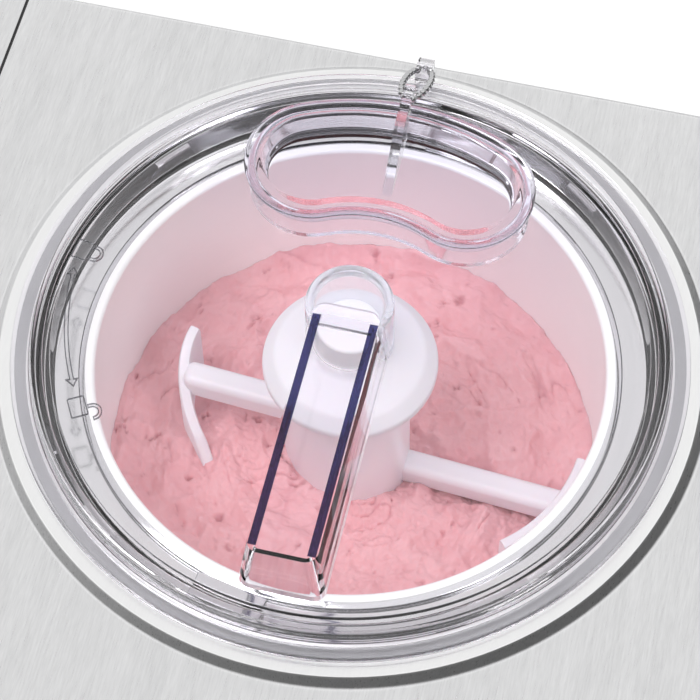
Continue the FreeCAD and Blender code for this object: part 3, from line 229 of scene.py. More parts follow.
def add_plate(bm: BMesh, outline: Sequence[Flat], holes: Sequence[Sequence[Flat]],
              thickness: float, place: Place) -> None:
    """Flat plate with holes, from outlines in its own plane.

    Args:
        bm: Mesh to add to.
        outline: Outer (u, v) outline.
        holes: Inner outlines.
        thickness: Thickness of the plate.
        place: Gives the point for (u, v, offset through the thickness).
    """
    half = thickness / 2
    for side in (-half, half):
        add_fill(bm, [[place(u, v, side) for u, v in path] for path in [outline, *holes]])
    for path in [outline, *holes]:
        add_loops(bm, [[place(u, v, side) for u, v in path] for side in (-half, half)])


def round_edges(piece: Object, width: float, segments: int = 3, degrees: float = 40.0,
                harden: bool = True) -> None:
    """Rounds a piece's sharp edges with a bevel.

    Args:
        piece: The piece.
        width: Width of the rounding in millimetres.
        segments: Steps across it.
        degrees: Angle above which an edge is rounded.
        harden: Whether the flats keep their own normals; not for a mesh that is carved next.
    """
    bevel = piece.modifiers.new("rounded_edges", "BEVEL")
    bevel.width = width * MM
    bevel.segments = segments
    bevel.limit_method = "ANGLE"
    bevel.angle_limit = math.radians(degrees)
    bevel.harden_normals = harden


def link_object(name: str, data: ID) -> Object:
    """Links new data to the scene.

    Args:
        name: Name of the object.
        data: Its mesh, curve, camera or light.

    Returns:
        The object, at the origin.
    """
    made = bpy.data.objects.new(name, data)
    bpy.context.scene.collection.objects.link(made)
    return made


def sharpen(piece: Object, degrees: float) -> None:
    """Keeps a smooth piece's edges sharp above an angle."""
    piece.data.set_sharp_from_angle(angle=math.radians(degrees))


def finish_mesh(name: str, bm: BMesh, sharp_degrees: float = 35.0,
                rounding: float = 0.0) -> Object:
    """Closes a built mesh, turns its faces outwards and links it as an object.

    Args:
        name: Name of the piece.
        bm: Built mesh, freed here.
        sharp_degrees: Angle above which an edge stays sharp.
        rounding: Width in millimetres by which its edges are rounded, if any.

    Returns:
        The new object at the origin.
    """
    bmesh.ops.remove_doubles(bm, verts=bm.verts, dist=0.002 * MM)
    bmesh.ops.dissolve_degenerate(bm, edges=bm.edges, dist=0.001 * MM)
    bmesh.ops.recalc_face_normals(bm, faces=bm.faces)
    mesh = bpy.data.meshes.new(name)
    bm.to_mesh(mesh)
    bm.free()
    mesh.shade_smooth()
    made = link_object(name, mesh)
    sharpen(made, sharp_degrees)
    if rounding:
        round_edges(made, rounding)
    return made


def turned_piece(name: str, corners: Sequence[Corner], sharp_degrees: float,
                 closed: bool = True) -> Object:
    """Piece turned about the bowl's axis from rounded corners.

    Args:
        name: Name of the piece.
        corners: (radius, height from the flange plane, rounding) of each corner.
        sharp_degrees: Angle above which an edge stays sharp.
        closed: Whether the last corner joins the first.

    Returns:
        The piece.
    """
    bm = bmesh.new()
    add_turned(bm, fillet_path(corners, closed), FLANGE_Z, closed)
    return finish_mesh(name, bm, sharp_degrees)


def plain_mesh(piece: Object) -> Mesh:
    """Mesh of a piece with its modifiers applied.

    Args:
        piece: The piece.

    Returns:
        A new mesh.
    """
    bpy.context.view_layer.update()
    graph = bpy.context.evaluated_depsgraph_get()
    return bpy.data.meshes.new_from_object(piece.evaluated_get(graph))


def settle(piece: Object) -> None:
    """Turns a piece's modifiers into its plain mesh.

    Args:
        piece: The piece.
    """
    plain = plain_mesh(piece)
    plain.name = piece.name
    piece.modifiers.clear()
    piece.data = plain


def carve(piece: Object, other: Object, way: Carving) -> None:
    """Joins or cuts one mesh with another.

    Args:
        piece: Mesh that is changed.
        other: Mesh that it is joined with or cut by; it is removed.
        way: Which of the two.
    """
    step = piece.modifiers.new("carve", "BOOLEAN")
    step.object = other
    step.operation = way.value
    step.solver = "EXACT"
    settle(piece)
    bpy.data.objects.remove(other)


def seat(piece: Object, body: str, finish: "Finish", nodes: Sequence[str] = ()) -> None:
    """Dresses a piece and puts it on its body.

    Args:
        piece: The piece.
        body: Body that it rides on.
        finish: Its finish.
        nodes: Solid nodes that the piece stands for.
    """
    piece.data.materials.clear()
    piece.data.materials.append(finish.material())
    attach(piece, body)
    if nodes:
        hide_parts(*nodes)
    LOG.info("piece %s on %s", piece.name, body)


# Shader tools

class Graph:
    """Short way to add and link the nodes of one tree."""

    def __init__(self, tree: NodeTree) -> None:
        """Keeps the tree that nodes are added to."""
        self.tree = tree

    def set(self, node: Node, sockets: Dict[object, object]) -> None:
        """Links or sets a node's inputs.

        Args:
            node: The node.
            sockets: Source socket or plain value of each input, by its label or number.
        """
        for label, value in sockets.items():
            if isinstance(value, NodeSocket):
                self.tree.links.new(value, node.inputs[label])
            else:
                node.inputs[label].default_value = value

    def add(self, kind: str, sockets: Optional[Dict[object, object]] = None,
            **settings: object) -> Node:
        """Adds a node.

        Args:
            kind: Type of the node.
            sockets: Source socket or plain value of its inputs.
            settings: Its plain properties.

        Returns:
            The node.
        """
        made = self.tree.nodes.new(kind)
        for key, value in settings.items():
            setattr(made, key, value)
        self.set(made, sockets or {})
        return made

    def math(self, operation: str, *values: object) -> NodeSocket:
        """Result of a math node on sockets or numbers."""
        return self.add("ShaderNodeMath", dict(enumerate(values)), operation=operation).outputs[0]

    def spread(self, value: NodeSocket, low: float, high: float) -> NodeSocket:
        """Value from 0 to 1, mapped to a range."""
        sockets = {"Value": value, "To Min": low, "To Max": high}
        return self.add("ShaderNodeMapRange", sockets).outputs["Result"]

    def bump(self, height: NodeSocket, strength: float, depth: float) -> NodeSocket:
        """Normal of a surface that a height raises."""
        sockets = {"Height": height, "Strength": strength, "Distance": depth}
        return self.add("ShaderNodeBump", sockets).outputs["Normal"]

    def mix(self, factor: object, low: object, high: object, way: str = "MIX") -> NodeSocket:
        """Mixes two colours.

        Args:
            factor: Share of the second colour.
            low: First colour, as a socket or as plain values.
            high: Second colour, likewise.
            way: Blend type of the mix.

        Returns:
            The mixed colour.
        """
        made = self.add("ShaderNodeMix", {"Factor": factor}, data_type="RGBA", blend_type=way)
        inputs = [i for i, socket in enumerate(made.inputs) if socket.type == "RGBA"]
        for i, value in zip(inputs, (low, high)):
            self.set(made, {i: value if isinstance(value, NodeSocket) else (*value, 1.0)})
        return [socket for socket in made.outputs if socket.type == "RGBA"][0]


class GrainAxis(Enum):
    """Way that a brushed surface's lines run."""

    ALONG_Y = "along_y"
    LEVEL = "level"
    ROUND = "round"


class TreeKind(Enum):
    """Kind of node tree."""

    SHADER = "ShaderNodeTree"
    GEOMETRY = "GeometryNodeTree"


def new_tree(name: str, kind: TreeKind, inputs: Dict[str, str],
             outputs: Dict[str, str]) -> Tuple[Graph, Node, Node]:
    """Starts a node tree with named inputs and outputs.

    Args:
        name: Name of the tree.
        kind: Kind of the tree.
        inputs: Socket kind of each input, such as Float.
        outputs: Socket kind of each output.

    Returns:
        The tree's graph, and its input and output nodes.
    """
    tree = bpy.data.node_groups.new(name, kind.value)
    for way, sockets in (("INPUT", inputs), ("OUTPUT", outputs)):
        for label, socket in sockets.items():
            tree.interface.new_socket(label, in_out=way, socket_type="NodeSocket" + socket)
    graph = Graph(tree)
    return graph, graph.add("NodeGroupInput"), graph.add("NodeGroupOutput")


def grain_group() -> NodeTree:
    """Brushed lines and slow tone changes along one stretched direction.

    Returns:
        The node group, made on first use.
    """
    known = bpy.data.node_groups.get("brushed_grain")
    if known:
        return known
    graph, into, out = new_tree("brushed_grain", TreeKind.SHADER, {"Vector": "Vector", "Line Scale": "Float"},
                                {"Lines": "Float", "Tone": "Float"})
    vector, scale = into.outputs["Vector"], into.outputs["Line Scale"]
    lines = graph.add("ShaderNodeTexNoise", {
        "Vector": vector, "Scale": scale, "Detail": 3.0, "Roughness": 0.65})
    slow = graph.math("MULTIPLY", scale, 0.12)
    tone = graph.add("ShaderNodeTexNoise", {"Vector": vector, "Scale": slow, "Detail": 1.0})
    graph.set(out, {"Lines": lines.outputs[0], "Tone": tone.outputs[0]})
    return graph.tree


def mottle_group() -> NodeTree:
    """Cloudy patches with a fine tooth on top, for moulded and painted surfaces.

    Returns:
        The node group, made on first use.
    """
    known = bpy.data.node_groups.get("mottle")
    if known:
        return known
    inputs = {"Vector": "Vector", "Patch Scale": "Float", "Tooth Scale": "Float"}
    graph, into, out = new_tree("mottle", TreeKind.SHADER, inputs, {"Patch": "Float", "Tooth": "Float"})
    for label, detail in (("Patch", 4.0), ("Tooth", 2.0)):
        cloud = graph.add("ShaderNodeTexNoise", {
            "Vector": into.outputs["Vector"], "Scale": into.outputs[label + " Scale"], "Detail": detail})
        graph.set(out, {label: cloud.outputs[0]})
    return graph.tree


def object_coords(graph: Graph) -> NodeSocket:
    """Object coordinates of a piece."""
    return graph.add("ShaderNodeTexCoord").outputs["Object"]


def mottled(graph: Graph, patch: float, tooth: float) -> NodeOutputs:
    """Places the mottle group in a material.

    Args:
        graph: Graph of the material.
        patch: Scale of the patches.
        tooth: Scale of the tooth.

    Returns:
        The group's outputs.
    """
    sockets = {"Vector": object_coords(graph), "Patch Scale": patch, "Tooth Scale": tooth}
    return graph.add("ShaderNodeGroup", sockets, node_tree=mottle_group()).outputs


def even(level: float) -> Colour:
    """Grey of one level."""
    return (level, level, level)


@dataclass(frozen=True)
class Finish:
    """Surface finish that builds its material once."""

    name: str

    def material(self) -> Material:
        """Material of this finish.

        Returns:
            The material, made on first use.
        """
        known = bpy.data.materials.get(self.name)
        if known:
            return known
        made = bpy.data.materials.new(self.name)
        made.use_nodes = True
        self.fill(Graph(made.node_tree), made.node_tree.nodes["Principled BSDF"])
        return made

    def fill(self, graph: Graph, shader: Node) -> None:
        """Sets the shader's sockets and links its patterns."""
        raise NotImplementedError


@dataclass(frozen=True)
class MetalZone:
    """Part of a metal piece above a height or beyond a radius: polished, painted highlight or painted shade.
    """

    colour: Colour
    rough: float
    start: float = 1.0
    reach: float = 1.0
    dip: float = 0.9


@dataclass(frozen=True)
class BrushedMetal(Finish):
    """Brushed or spun metal with fine lines."""

    colour: Colour = (0.74, 0.74, 0.735)
    shade: Colour = (0.66, 0.66, 0.655)
    rough_low: float = 0.26
    rough_high: float = 0.42
    metallic: float = 1.0
    grain: GrainAxis = GrainAxis.ALONG_Y
    line_scale: float = 1.0
    depth: float = 0.012 * MM
    fine: float = 1500.0
    drawn: float = 110.0
    spun: float = 1600.0
    zone: Optional[MetalZone] = None

    def fill(self, graph: Graph, shader: Node) -> None:
        """Lines in tone, roughness and height on a metal base.

        Args:
            graph: Graph of the material.
            shader: Its Principled shader.
        """
        coords = object_coords(graph)
        centred = graph.add("ShaderNodeVectorMath", {0: coords, 1: BOWL_AXIS}, operation="SUBTRACT")
        parts = graph.add("ShaderNodeSeparateXYZ", {0: centred.outputs[0]}).outputs
        x, y, z = parts["X"], parts["Y"], parts["Z"]
        span = graph.math("MULTIPLY_ADD", x, x, graph.math("MULTIPLY", y, y))
        if self.grain is GrainAxis.ROUND:
            reach = graph.math("MULTIPLY", graph.math("SQRT", span), self.spun)
            rise = graph.math("MULTIPLY", z, self.spun)
            source = graph.add("ShaderNodeCombineXYZ", {"X": reach, "Y": rise}).outputs[0]
        else:
            across = self.fine if self.grain is GrainAxis.ALONG_Y else self.drawn
            scale = (across, self.drawn, self.fine)
            source = graph.add("ShaderNodeMapping", {"Vector": coords, "Scale": scale}).outputs["Vector"]
        grain = graph.add("ShaderNodeGroup", {"Vector": source, "Line Scale": self.line_scale},
                          node_tree=grain_group()).outputs
        tone = graph.math("ADD", graph.math("MULTIPLY", grain["Lines"], 0.75),
                          graph.math("MULTIPLY", grain["Tone"], 0.25))
        colour = graph.mix(tone, self.shade, self.colour)
        rough = graph.spread(grain["Lines"], self.rough_low, self.rough_high)
        metallic: object = self.metallic
        # The zone is polished metal, or a painted highlight or painted shade, in its own colour over the
        # grain.
        if self.zone:
            above = graph.math("GREATER_THAN", z, self.zone.start)
            beyond = graph.math("GREATER_THAN", span, self.zone.reach ** 2)
            within = graph.math("MAXIMUM", above, beyond)
            dull = [level * self.zone.dip for level in self.zone.colour]
            colour = graph.mix(within, colour, graph.mix(tone, dull, self.zone.colour))
            rough = graph.math("MULTIPLY_ADD", within, graph.math("SUBTRACT", self.zone.rough, rough), rough)
            metallic = graph.spread(within, self.metallic, 1.0)
        graph.set(shader, {"Base Color": colour, "Roughness": rough, "Metallic": metallic,
                           "Normal": graph.bump(grain["Lines"], 0.35, self.depth)})


@dataclass(frozen=True)
class SolidFinish(Finish):
    """Moulded, painted, cast or rubber surface with patches and a fine tooth."""

    colour: Colour = even(0.8)
    shade: Colour = even(0.7)
    rough_low: float = 0.35
    rough_high: float = 0.5
    metallic: float = 0.0
    coat: float = 0.0
    patch_scale: float = 40.0
    tooth_scale: float = 1800.0
    tooth_depth: float = 0.01 * MM
    subsurface: float = 0.0
    glow: float = 0.0

    def fill(self, graph: Graph, shader: Node) -> None:
        """Patches in tone and roughness, tooth in height.

        Args:
            graph: Graph of the material.
            shader: Its Principled shader.
        """
        mottle = mottled(graph, self.patch_scale, self.tooth_scale)
        colour = graph.mix(mottle["Patch"], self.shade, self.colour)
        graph.set(shader, {
            "Base Color": colour, "Roughness": graph.spread(mottle["Patch"], self.rough_low, self.rough_high),
            "Metallic": self.metallic, "Coat Weight": self.coat, "Subsurface Weight": self.subsurface,
            "Subsurface Scale": 2.0 * MM, "Normal": graph.bump(mottle["Tooth"], 0.3, self.tooth_depth)})
        if self.glow > 0:
            graph.set(shader, {"Emission Color": colour, "Emission Strength": self.glow})


@dataclass(frozen=True)
class ClearPlastic(Finish):
    """Clear moulded plastic that lets light through to what it covers."""

    tint: Colour = (0.985, 0.98, 0.99)
    haze: Colour = (0.955, 0.95, 0.965)
    rough: float = 0.02
    ior: float = 1.49
    clarity: float = 1.0
    # Colour of the painted dark reflection on the strips above the grip's long walls, if any
    painted_wall_reflection: Optional[Colour] = None
    wall_across: Flat = (8.6, 11.5)
    wall_out: Flat = (6.0, 96.0)
    wall_rise: Flat = (22.2, 40.0)

    def walls(self, graph: Graph) -> NodeSocket:
        """Mask of the strips of the grip's roof above its two long walls, where a dark reflection is painted.

        Args:
            graph: Graph of the material.

        Returns:
            One in the strips and zero elsewhere.
        """
        parts = graph.add("ShaderNodeSeparateXYZ", {0: object_coords(graph)}).outputs
        across = graph.math("ABSOLUTE", graph.math("SUBTRACT", parts["X"], BOWL_AXIS.x))
        out = graph.math("SUBTRACT", BOWL_AXIS.y, parts["Y"])
        rise = graph.math("SUBTRACT", parts["Z"], FLANGE_Z + DISC_TOP * MM)
        mask: object = 1.0
        for value, (low, high) in ((across, self.wall_across), (out, self.wall_out), (rise, self.wall_rise)):
            mask = graph.math("MULTIPLY", mask, graph.math("GREATER_THAN", value, low * MM))
            mask = graph.math("MULTIPLY", mask, graph.math("LESS_THAN", value, high * MM))
        return mask

    def fill(self, graph: Graph, shader: Node) -> None:
        """Clear shader for sight, and a plain tinted pass for lamp light.

        Args:
            graph: Graph of the material.
            shader: Its Principled shader.
        """
        mottle = mottled(graph, 25.0, 400.0)
        colour = graph.mix(mottle["Patch"], self.haze, self.tint)
        # Painted dark reflection: the strips above the grip's long walls are darkened towards near-black
        # navy.
        if self.painted_wall_reflection:
            dark = graph.mix(self.walls(graph), self.tint, self.painted_wall_reflection)
            colour = graph.mix(1.0, colour, dark, "MULTIPLY")
        graph.set(shader, {"Base Color": colour, "Transmission Weight": self.clarity, "IOR": self.ior,
                           "Roughness": graph.spread(mottle["Tooth"], self.rough / 4, self.rough)})
        passing = graph.add("ShaderNodeBsdfTransparent", {"Color": (*self.tint, 1.0)})
        rays = graph.add("ShaderNodeLightPath").outputs
        unlit = graph.math("MAXIMUM", rays["Is Shadow Ray"], rays["Is Diffuse Ray"])
        mixed = graph.add("ShaderNodeMixShader", {
            "Fac": unlit, 1: shader.outputs["BSDF"], 2: passing.outputs["BSDF"]})
        graph.set(graph.tree.nodes["Material Output"], {"Surface": mixed.outputs["Shader"]})


@dataclass(frozen=True)
class ChurnedIce(Finish):
    """Soft frozen dairy surface with a crumbly grain."""

    colour: Colour = (0.87, 0.52, 0.54)
    shade: Colour = (0.76, 0.36, 0.39)
    # Colour of the painted shade in the pits and creases
    painted_pit_shade: Colour = (0.72, 0.55, 0.58)

    def fill(self, graph: Graph, shader: Node) -> None:
        """Pale crests, pits and creases darkened with painted shade, and a fine crystal tooth.

        Args:
            graph: Graph of the material.
            shader: Its Principled shader.
        """
        mottle = mottled(graph, 70.0, 420.0)
        crests = graph.mix(mottle["Patch"], self.shade, self.colour)
        # Painted shade: the colour is darkened where the pits and creases are deep.
        hollow = graph.add("ShaderNodeAttribute", attribute_name="hollow")
        depth = graph.mix(hollow.outputs["Fac"], even(1.0), self.painted_pit_shade)
        graph.set(shader, {
            "Base Color": graph.mix(1.0, crests, depth, "MULTIPLY"),
            "Roughness": graph.spread(mottle["Tooth"], 0.45, 0.7), "Subsurface Weight": 0.25,
            "Subsurface Scale": 3.0 * MM, "Subsurface Radius": (1.0, 0.55, 0.5),
            "Normal": graph.bump(mottle["Tooth"], 0.6, 0.5 * MM)})


class Finishes:
    """Every finish of the object."""

    # The zone above 232.7 mm paints a highlight: near white on the raised ring's crest and the top of its
    # slopes.
    top_steel = BrushedMetal("top_steel", colour=(0.95, 0.95, 0.955), shade=(0.57, 0.57, 0.575),
                             rough_low=0.22, rough_high=0.38, line_scale=1.1,
                             zone=MetalZone(even(0.98), 0.30, start=232.7 * MM))
    wall_steel = BrushedMetal("wall_steel", colour=(0.58, 0.58, 0.575), shade=(0.40, 0.40, 0.395),
                              line_scale=0.8, grain=GrainAxis.LEVEL)
    spun_steel = BrushedMetal("spun_steel", grain=GrainAxis.ROUND, rough_low=0.16, rough_high=0.28)
    # The zone paints shade: near black on the recess wall above the seat and on the seat's outer part, round
    # the gap under the lid.
    recess_steel = BrushedMetal("recess_steel", colour=even(0.86), shade=even(0.78), grain=GrainAxis.ROUND,
                                rough_low=0.10, rough_high=0.18,
                                zone=MetalZone(even(0.10), 0.10, start=223.6 * MM, reach=105.6 * MM))
    bowl_metal = BrushedMetal("bowl_metal", colour=(0.96, 0.955, 0.95), shade=(0.91, 0.905, 0.90),
                              metallic=0.1, grain=GrainAxis.ROUND, rough_low=0.26, rough_high=0.38,
                              line_scale=0.6, zone=MetalZone((0.80, 0.80, 0.81), 0.10, reach=94.4 * MM))
    fin_metal = BrushedMetal("fin_metal", colour=(0.82, 0.83, 0.84), shade=(0.72, 0.73, 0.74),
                             grain=GrainAxis.LEVEL, rough_low=0.3, rough_high=0.5)
    gear_steel = BrushedMetal("turned_steel", colour=(0.56, 0.57, 0.59), shade=(0.44, 0.45, 0.47),
                              grain=GrainAxis.LEVEL)
    zinc = SolidFinish("zinc_sheet", colour=(0.62, 0.64, 0.66), shade=(0.48, 0.50, 0.53), metallic=1.0,
                       rough_low=0.3, rough_high=0.5, patch_scale=60.0)
    bright_metal = SolidFinish("bright_metal", colour=(0.84, 0.84, 0.85), shade=(0.74, 0.74, 0.76),
                               metallic=1.0, rough_low=0.08, rough_high=0.18)
    chain_metal = SolidFinish("chain_metal", colour=(0.62, 0.62, 0.63), shade=(0.50, 0.50, 0.51),
                              metallic=1.0, rough_low=0.06, rough_high=0.14)
    copper = SolidFinish("copper_tube", colour=(0.74, 0.40, 0.27), shade=(0.58, 0.29, 0.19), metallic=1.0,
                         rough_low=0.22, rough_high=0.4)
    bronze = SolidFinish("sintered_bronze", colour=(0.62, 0.45, 0.24), shade=(0.50, 0.35, 0.18),
                         metallic=1.0, rough_low=0.35, rough_high=0.55, tooth_depth=0.03 * MM)
    black_enamel = SolidFinish("black_enamel", colour=(0.035, 0.035, 0.038), shade=(0.02, 0.02, 0.022),
                               coat=0.4)
    white_moulding = SolidFinish("white_moulding", colour=(0.86, 0.83, 0.87), shade=(0.82, 0.79, 0.83),
                                 rough_low=0.28, rough_high=0.36, subsurface=0.1)
    black_moulding = SolidFinish("black_moulding", colour=(0.032, 0.032, 0.035),
                                 shade=(0.022, 0.022, 0.024), tooth_scale=2600.0, tooth_depth=0.03 * MM)
    black_gloss = SolidFinish("black_gloss", colour=(0.018, 0.018, 0.02), shade=(0.012, 0.012, 0.014),
                              rough_low=0.04, rough_high=0.10, coat=0.6)
    silver_moulding = SolidFinish("silver_moulding", colour=(0.70, 0.70, 0.71), shade=(0.62, 0.62, 0.63),
                                  metallic=0.8, rough_low=0.3, rough_high=0.4)
    gear_moulding = SolidFinish("gear_moulding", colour=(0.80, 0.77, 0.68), shade=(0.72, 0.69, 0.60))
    green_lamp = SolidFinish("green_lamp", colour=(0.16, 0.60, 0.30), shade=(0.10, 0.45, 0.22),
                             rough_low=0.1, rough_high=0.2, coat=0.5)
    board = SolidFinish("board_laminate", colour=(0.04, 0.24, 0.11), shade=(0.03, 0.17, 0.08), coat=0.3)
    rubber = SolidFinish("black_rubber", colour=even(0.03), shade=even(0.02), rough_low=0.7, rough_high=0.9,
                         tooth_depth=0.05 * MM)
    foam = SolidFinish("pour_foam", colour=(0.82, 0.76, 0.60), shade=(0.72, 0.66, 0.50), rough_low=0.8,
                       rough_high=0.95, tooth_scale=600.0, tooth_depth=0.3 * MM)
    white_print = SolidFinish("white_print", colour=even(0.86), shade=even(0.80))
    lit_digit = SolidFinish("lit_digit", colour=(0.55, 0.80, 0.90), shade=(0.48, 0.74, 0.86), glow=0.9)
    # The clear moulding paints a dark reflection on the grip's long walls.
    clear = ClearPlastic("clear_moulding", ior=1.36, painted_wall_reflection=(0.003, 0.003, 0.028))
    thin_clear = ClearPlastic("thin_clear_moulding", tint=(0.95, 0.95, 0.98), haze=(0.90, 0.90, 0.95),
                              rough=0.12, ior=1.16, clarity=0.8)
    etched = ClearPlastic("etched_clear", tint=(0.30, 0.30, 0.32), haze=(0.24, 0.24, 0.26), rough=0.08)
    silicone = ClearPlastic("clear_silicone", tint=(0.76, 0.76, 0.77), haze=(0.70, 0.70, 0.71), rough=0.06,
                            ior=1.25)
    cap_clear = ClearPlastic("cap_clear", tint=(0.95, 0.945, 0.985), haze=(0.92, 0.915, 0.965), rough=0.05,
                             ior=1.17)
    fin_clear = ClearPlastic("fin_clear", tint=(0.98, 0.97, 0.99), haze=(0.95, 0.94, 0.97), rough=0.12,
                             ior=1.3)
    churned = ChurnedIce("churned_ice")


# Repeated items

def placing_tree() -> NodeTree:
    """Geometry node tree that sets one item on every point, each spun a step further than the last.

    Returns:
        The tree, made on first use.
    """
    known = bpy.data.node_groups.get("placed_items")
    if known:
        return known
    graph, into, out = new_tree("placed_items", TreeKind.GEOMETRY, {
        "Geometry": "Geometry", "Item": "Object", "Turn": "Vector", "First Spin": "Float",
        "Spin Step": "Float", "Finish": "Material"}, {"Geometry": "Geometry"})
    given = into.outputs
    item = graph.add("GeometryNodeObjectInfo", {"Object": given["Item"]})
    step = graph.math("MULTIPLY", given["Spin Step"], graph.add("GeometryNodeInputIndex").outputs[0])
    angle = graph.math("ADD", given["First Spin"], step)
    spin = graph.add("FunctionNodeAxisAngleToRotation", {"Angle": angle})
    lean = graph.add("FunctionNodeEulerToRotation", {0: given["Turn"]})
    both = graph.add("FunctionNodeRotateRotation", {
        "Rotation": lean.outputs[0], "Rotate By": spin.outputs[0]}, rotation_space="LOCAL")
    placed = graph.add("GeometryNodeInstanceOnPoints", {
        "Points": given["Geometry"], "Instance": item.outputs["Geometry"], "Rotation": both.outputs[0]})
    solid = graph.add("GeometryNodeRealizeInstances", {"Geometry": placed.outputs["Instances"]})
    dressed = graph.add("GeometryNodeSetMaterial", {
        "Geometry": solid.outputs["Geometry"], "Material": given["Finish"]})
    graph.set(out, {"Geometry": dressed.outputs["Geometry"]})
    return graph.tree


def add_nodes(piece: Object, tree: NodeTree, values: Dict[str, object]) -> None:
    """Puts a geometry node tree on a piece.

    Args:
        piece: The piece.
        tree: The tree.
        values: Value of each of its inputs, by label.
    """
    nodes = piece.modifiers.new(tree.name, "NODES")
    nodes.node_group = tree
    for entry in tree.interface.items_tree:
        if entry.in_out == "INPUT" and entry.name in values:
            nodes[entry.identifier] = values[entry.name]


def place_items(name: str, item: Object, spots: Sequence[Vector], finish: Finish,
                turn: Tuple[float, float, float] = (0.0, 0.0, 0.0), first: float = 0.0,
                step: float = 0.0) -> Object:
    """Sets copies of an item at spots and gives them as one plain mesh.

    Args:
        name: Name of the new piece.
        item: Item built about the origin with its top along Z; it is removed.
        spots: Places of the copies.
        finish: Finish of the copies.
        turn: Turn of every copy, in radians about X, Y and Z.
        first: Spin of the first copy about its own Z.
        step: Extra spin of each next copy.

    Returns:
        The piece.
    """
    points = bpy.data.meshes.new(name)
    points.from_pydata([tuple(spot) for spot in spots], [], [])
    made = link_object(name, points)
    add_nodes(made, placing_tree(), {"Item": item, "Turn": turn, "First Spin": first, "Spin Step": step,
                                     "Finish": finish.material()})
    settle(made)
    bpy.data.objects.remove(item)
    return made


# Sub-assemblies

def kidney_loop(half: float, z: float) -> Loop:
    """Kidney outline of the filling neck: a slot along an arc about the bowl's axis.

    Args:
        half: Half width of the slot.
        z: Height above the lid's flange plane.

    Returns:
        The outline's points, always of one count.
    """
    arc_radius = 67.4 * MM
    half_angle = math.radians(24.8)
    side_steps = 40
    end_steps = 28
    right = math.pi / 2 - half_angle
    left = math.pi / 2 + half_angle
    points: Loop = []
    for radius, start, end, spin in ((arc_radius + half, right, left, 0.0),
                                     (arc_radius - half, left, right, math.pi)):
        points += arc(Vector(), radius, start, end, side_steps)
        middle = Vector((arc_radius * math.cos(end), arc_radius * math.sin(end), 0))
        points += arc(middle, half, end + spin, end + spin + math.pi, end_steps)
    lift = BOWL_AXIS + Vector((0, 0, FLANGE_Z + z))
    return [point + lift for point in points]


def kidney_sweep(bm: BMesh, path: Sequence[Flat]) -> None:
    """Skins kidney outlines along a (half width, height) path."""
    add_loops(bm, [kidney_loop(half, z) for half, z in path])


def across_plate(u: float, v: float, offset: float) -> Vector:
    """Point of an upright plate on the lid's centre plane: u to the back, v above the flange plane."""
    return BOWL_AXIS + Vector((offset, u, FLANGE_Z + v))


def eye_path(eye: Flat, steps: int = 32) -> List[Flat]:
    """Round hole for the chain in an upright plate, in metres."""
    turns = [FULL_TURN * i / steps for i in range(steps)]
    return in_metres([(eye[0] + EYE_RADIUS * math.cos(t), eye[1] + EYE_RADIUS * math.sin(t)) for t in turns])


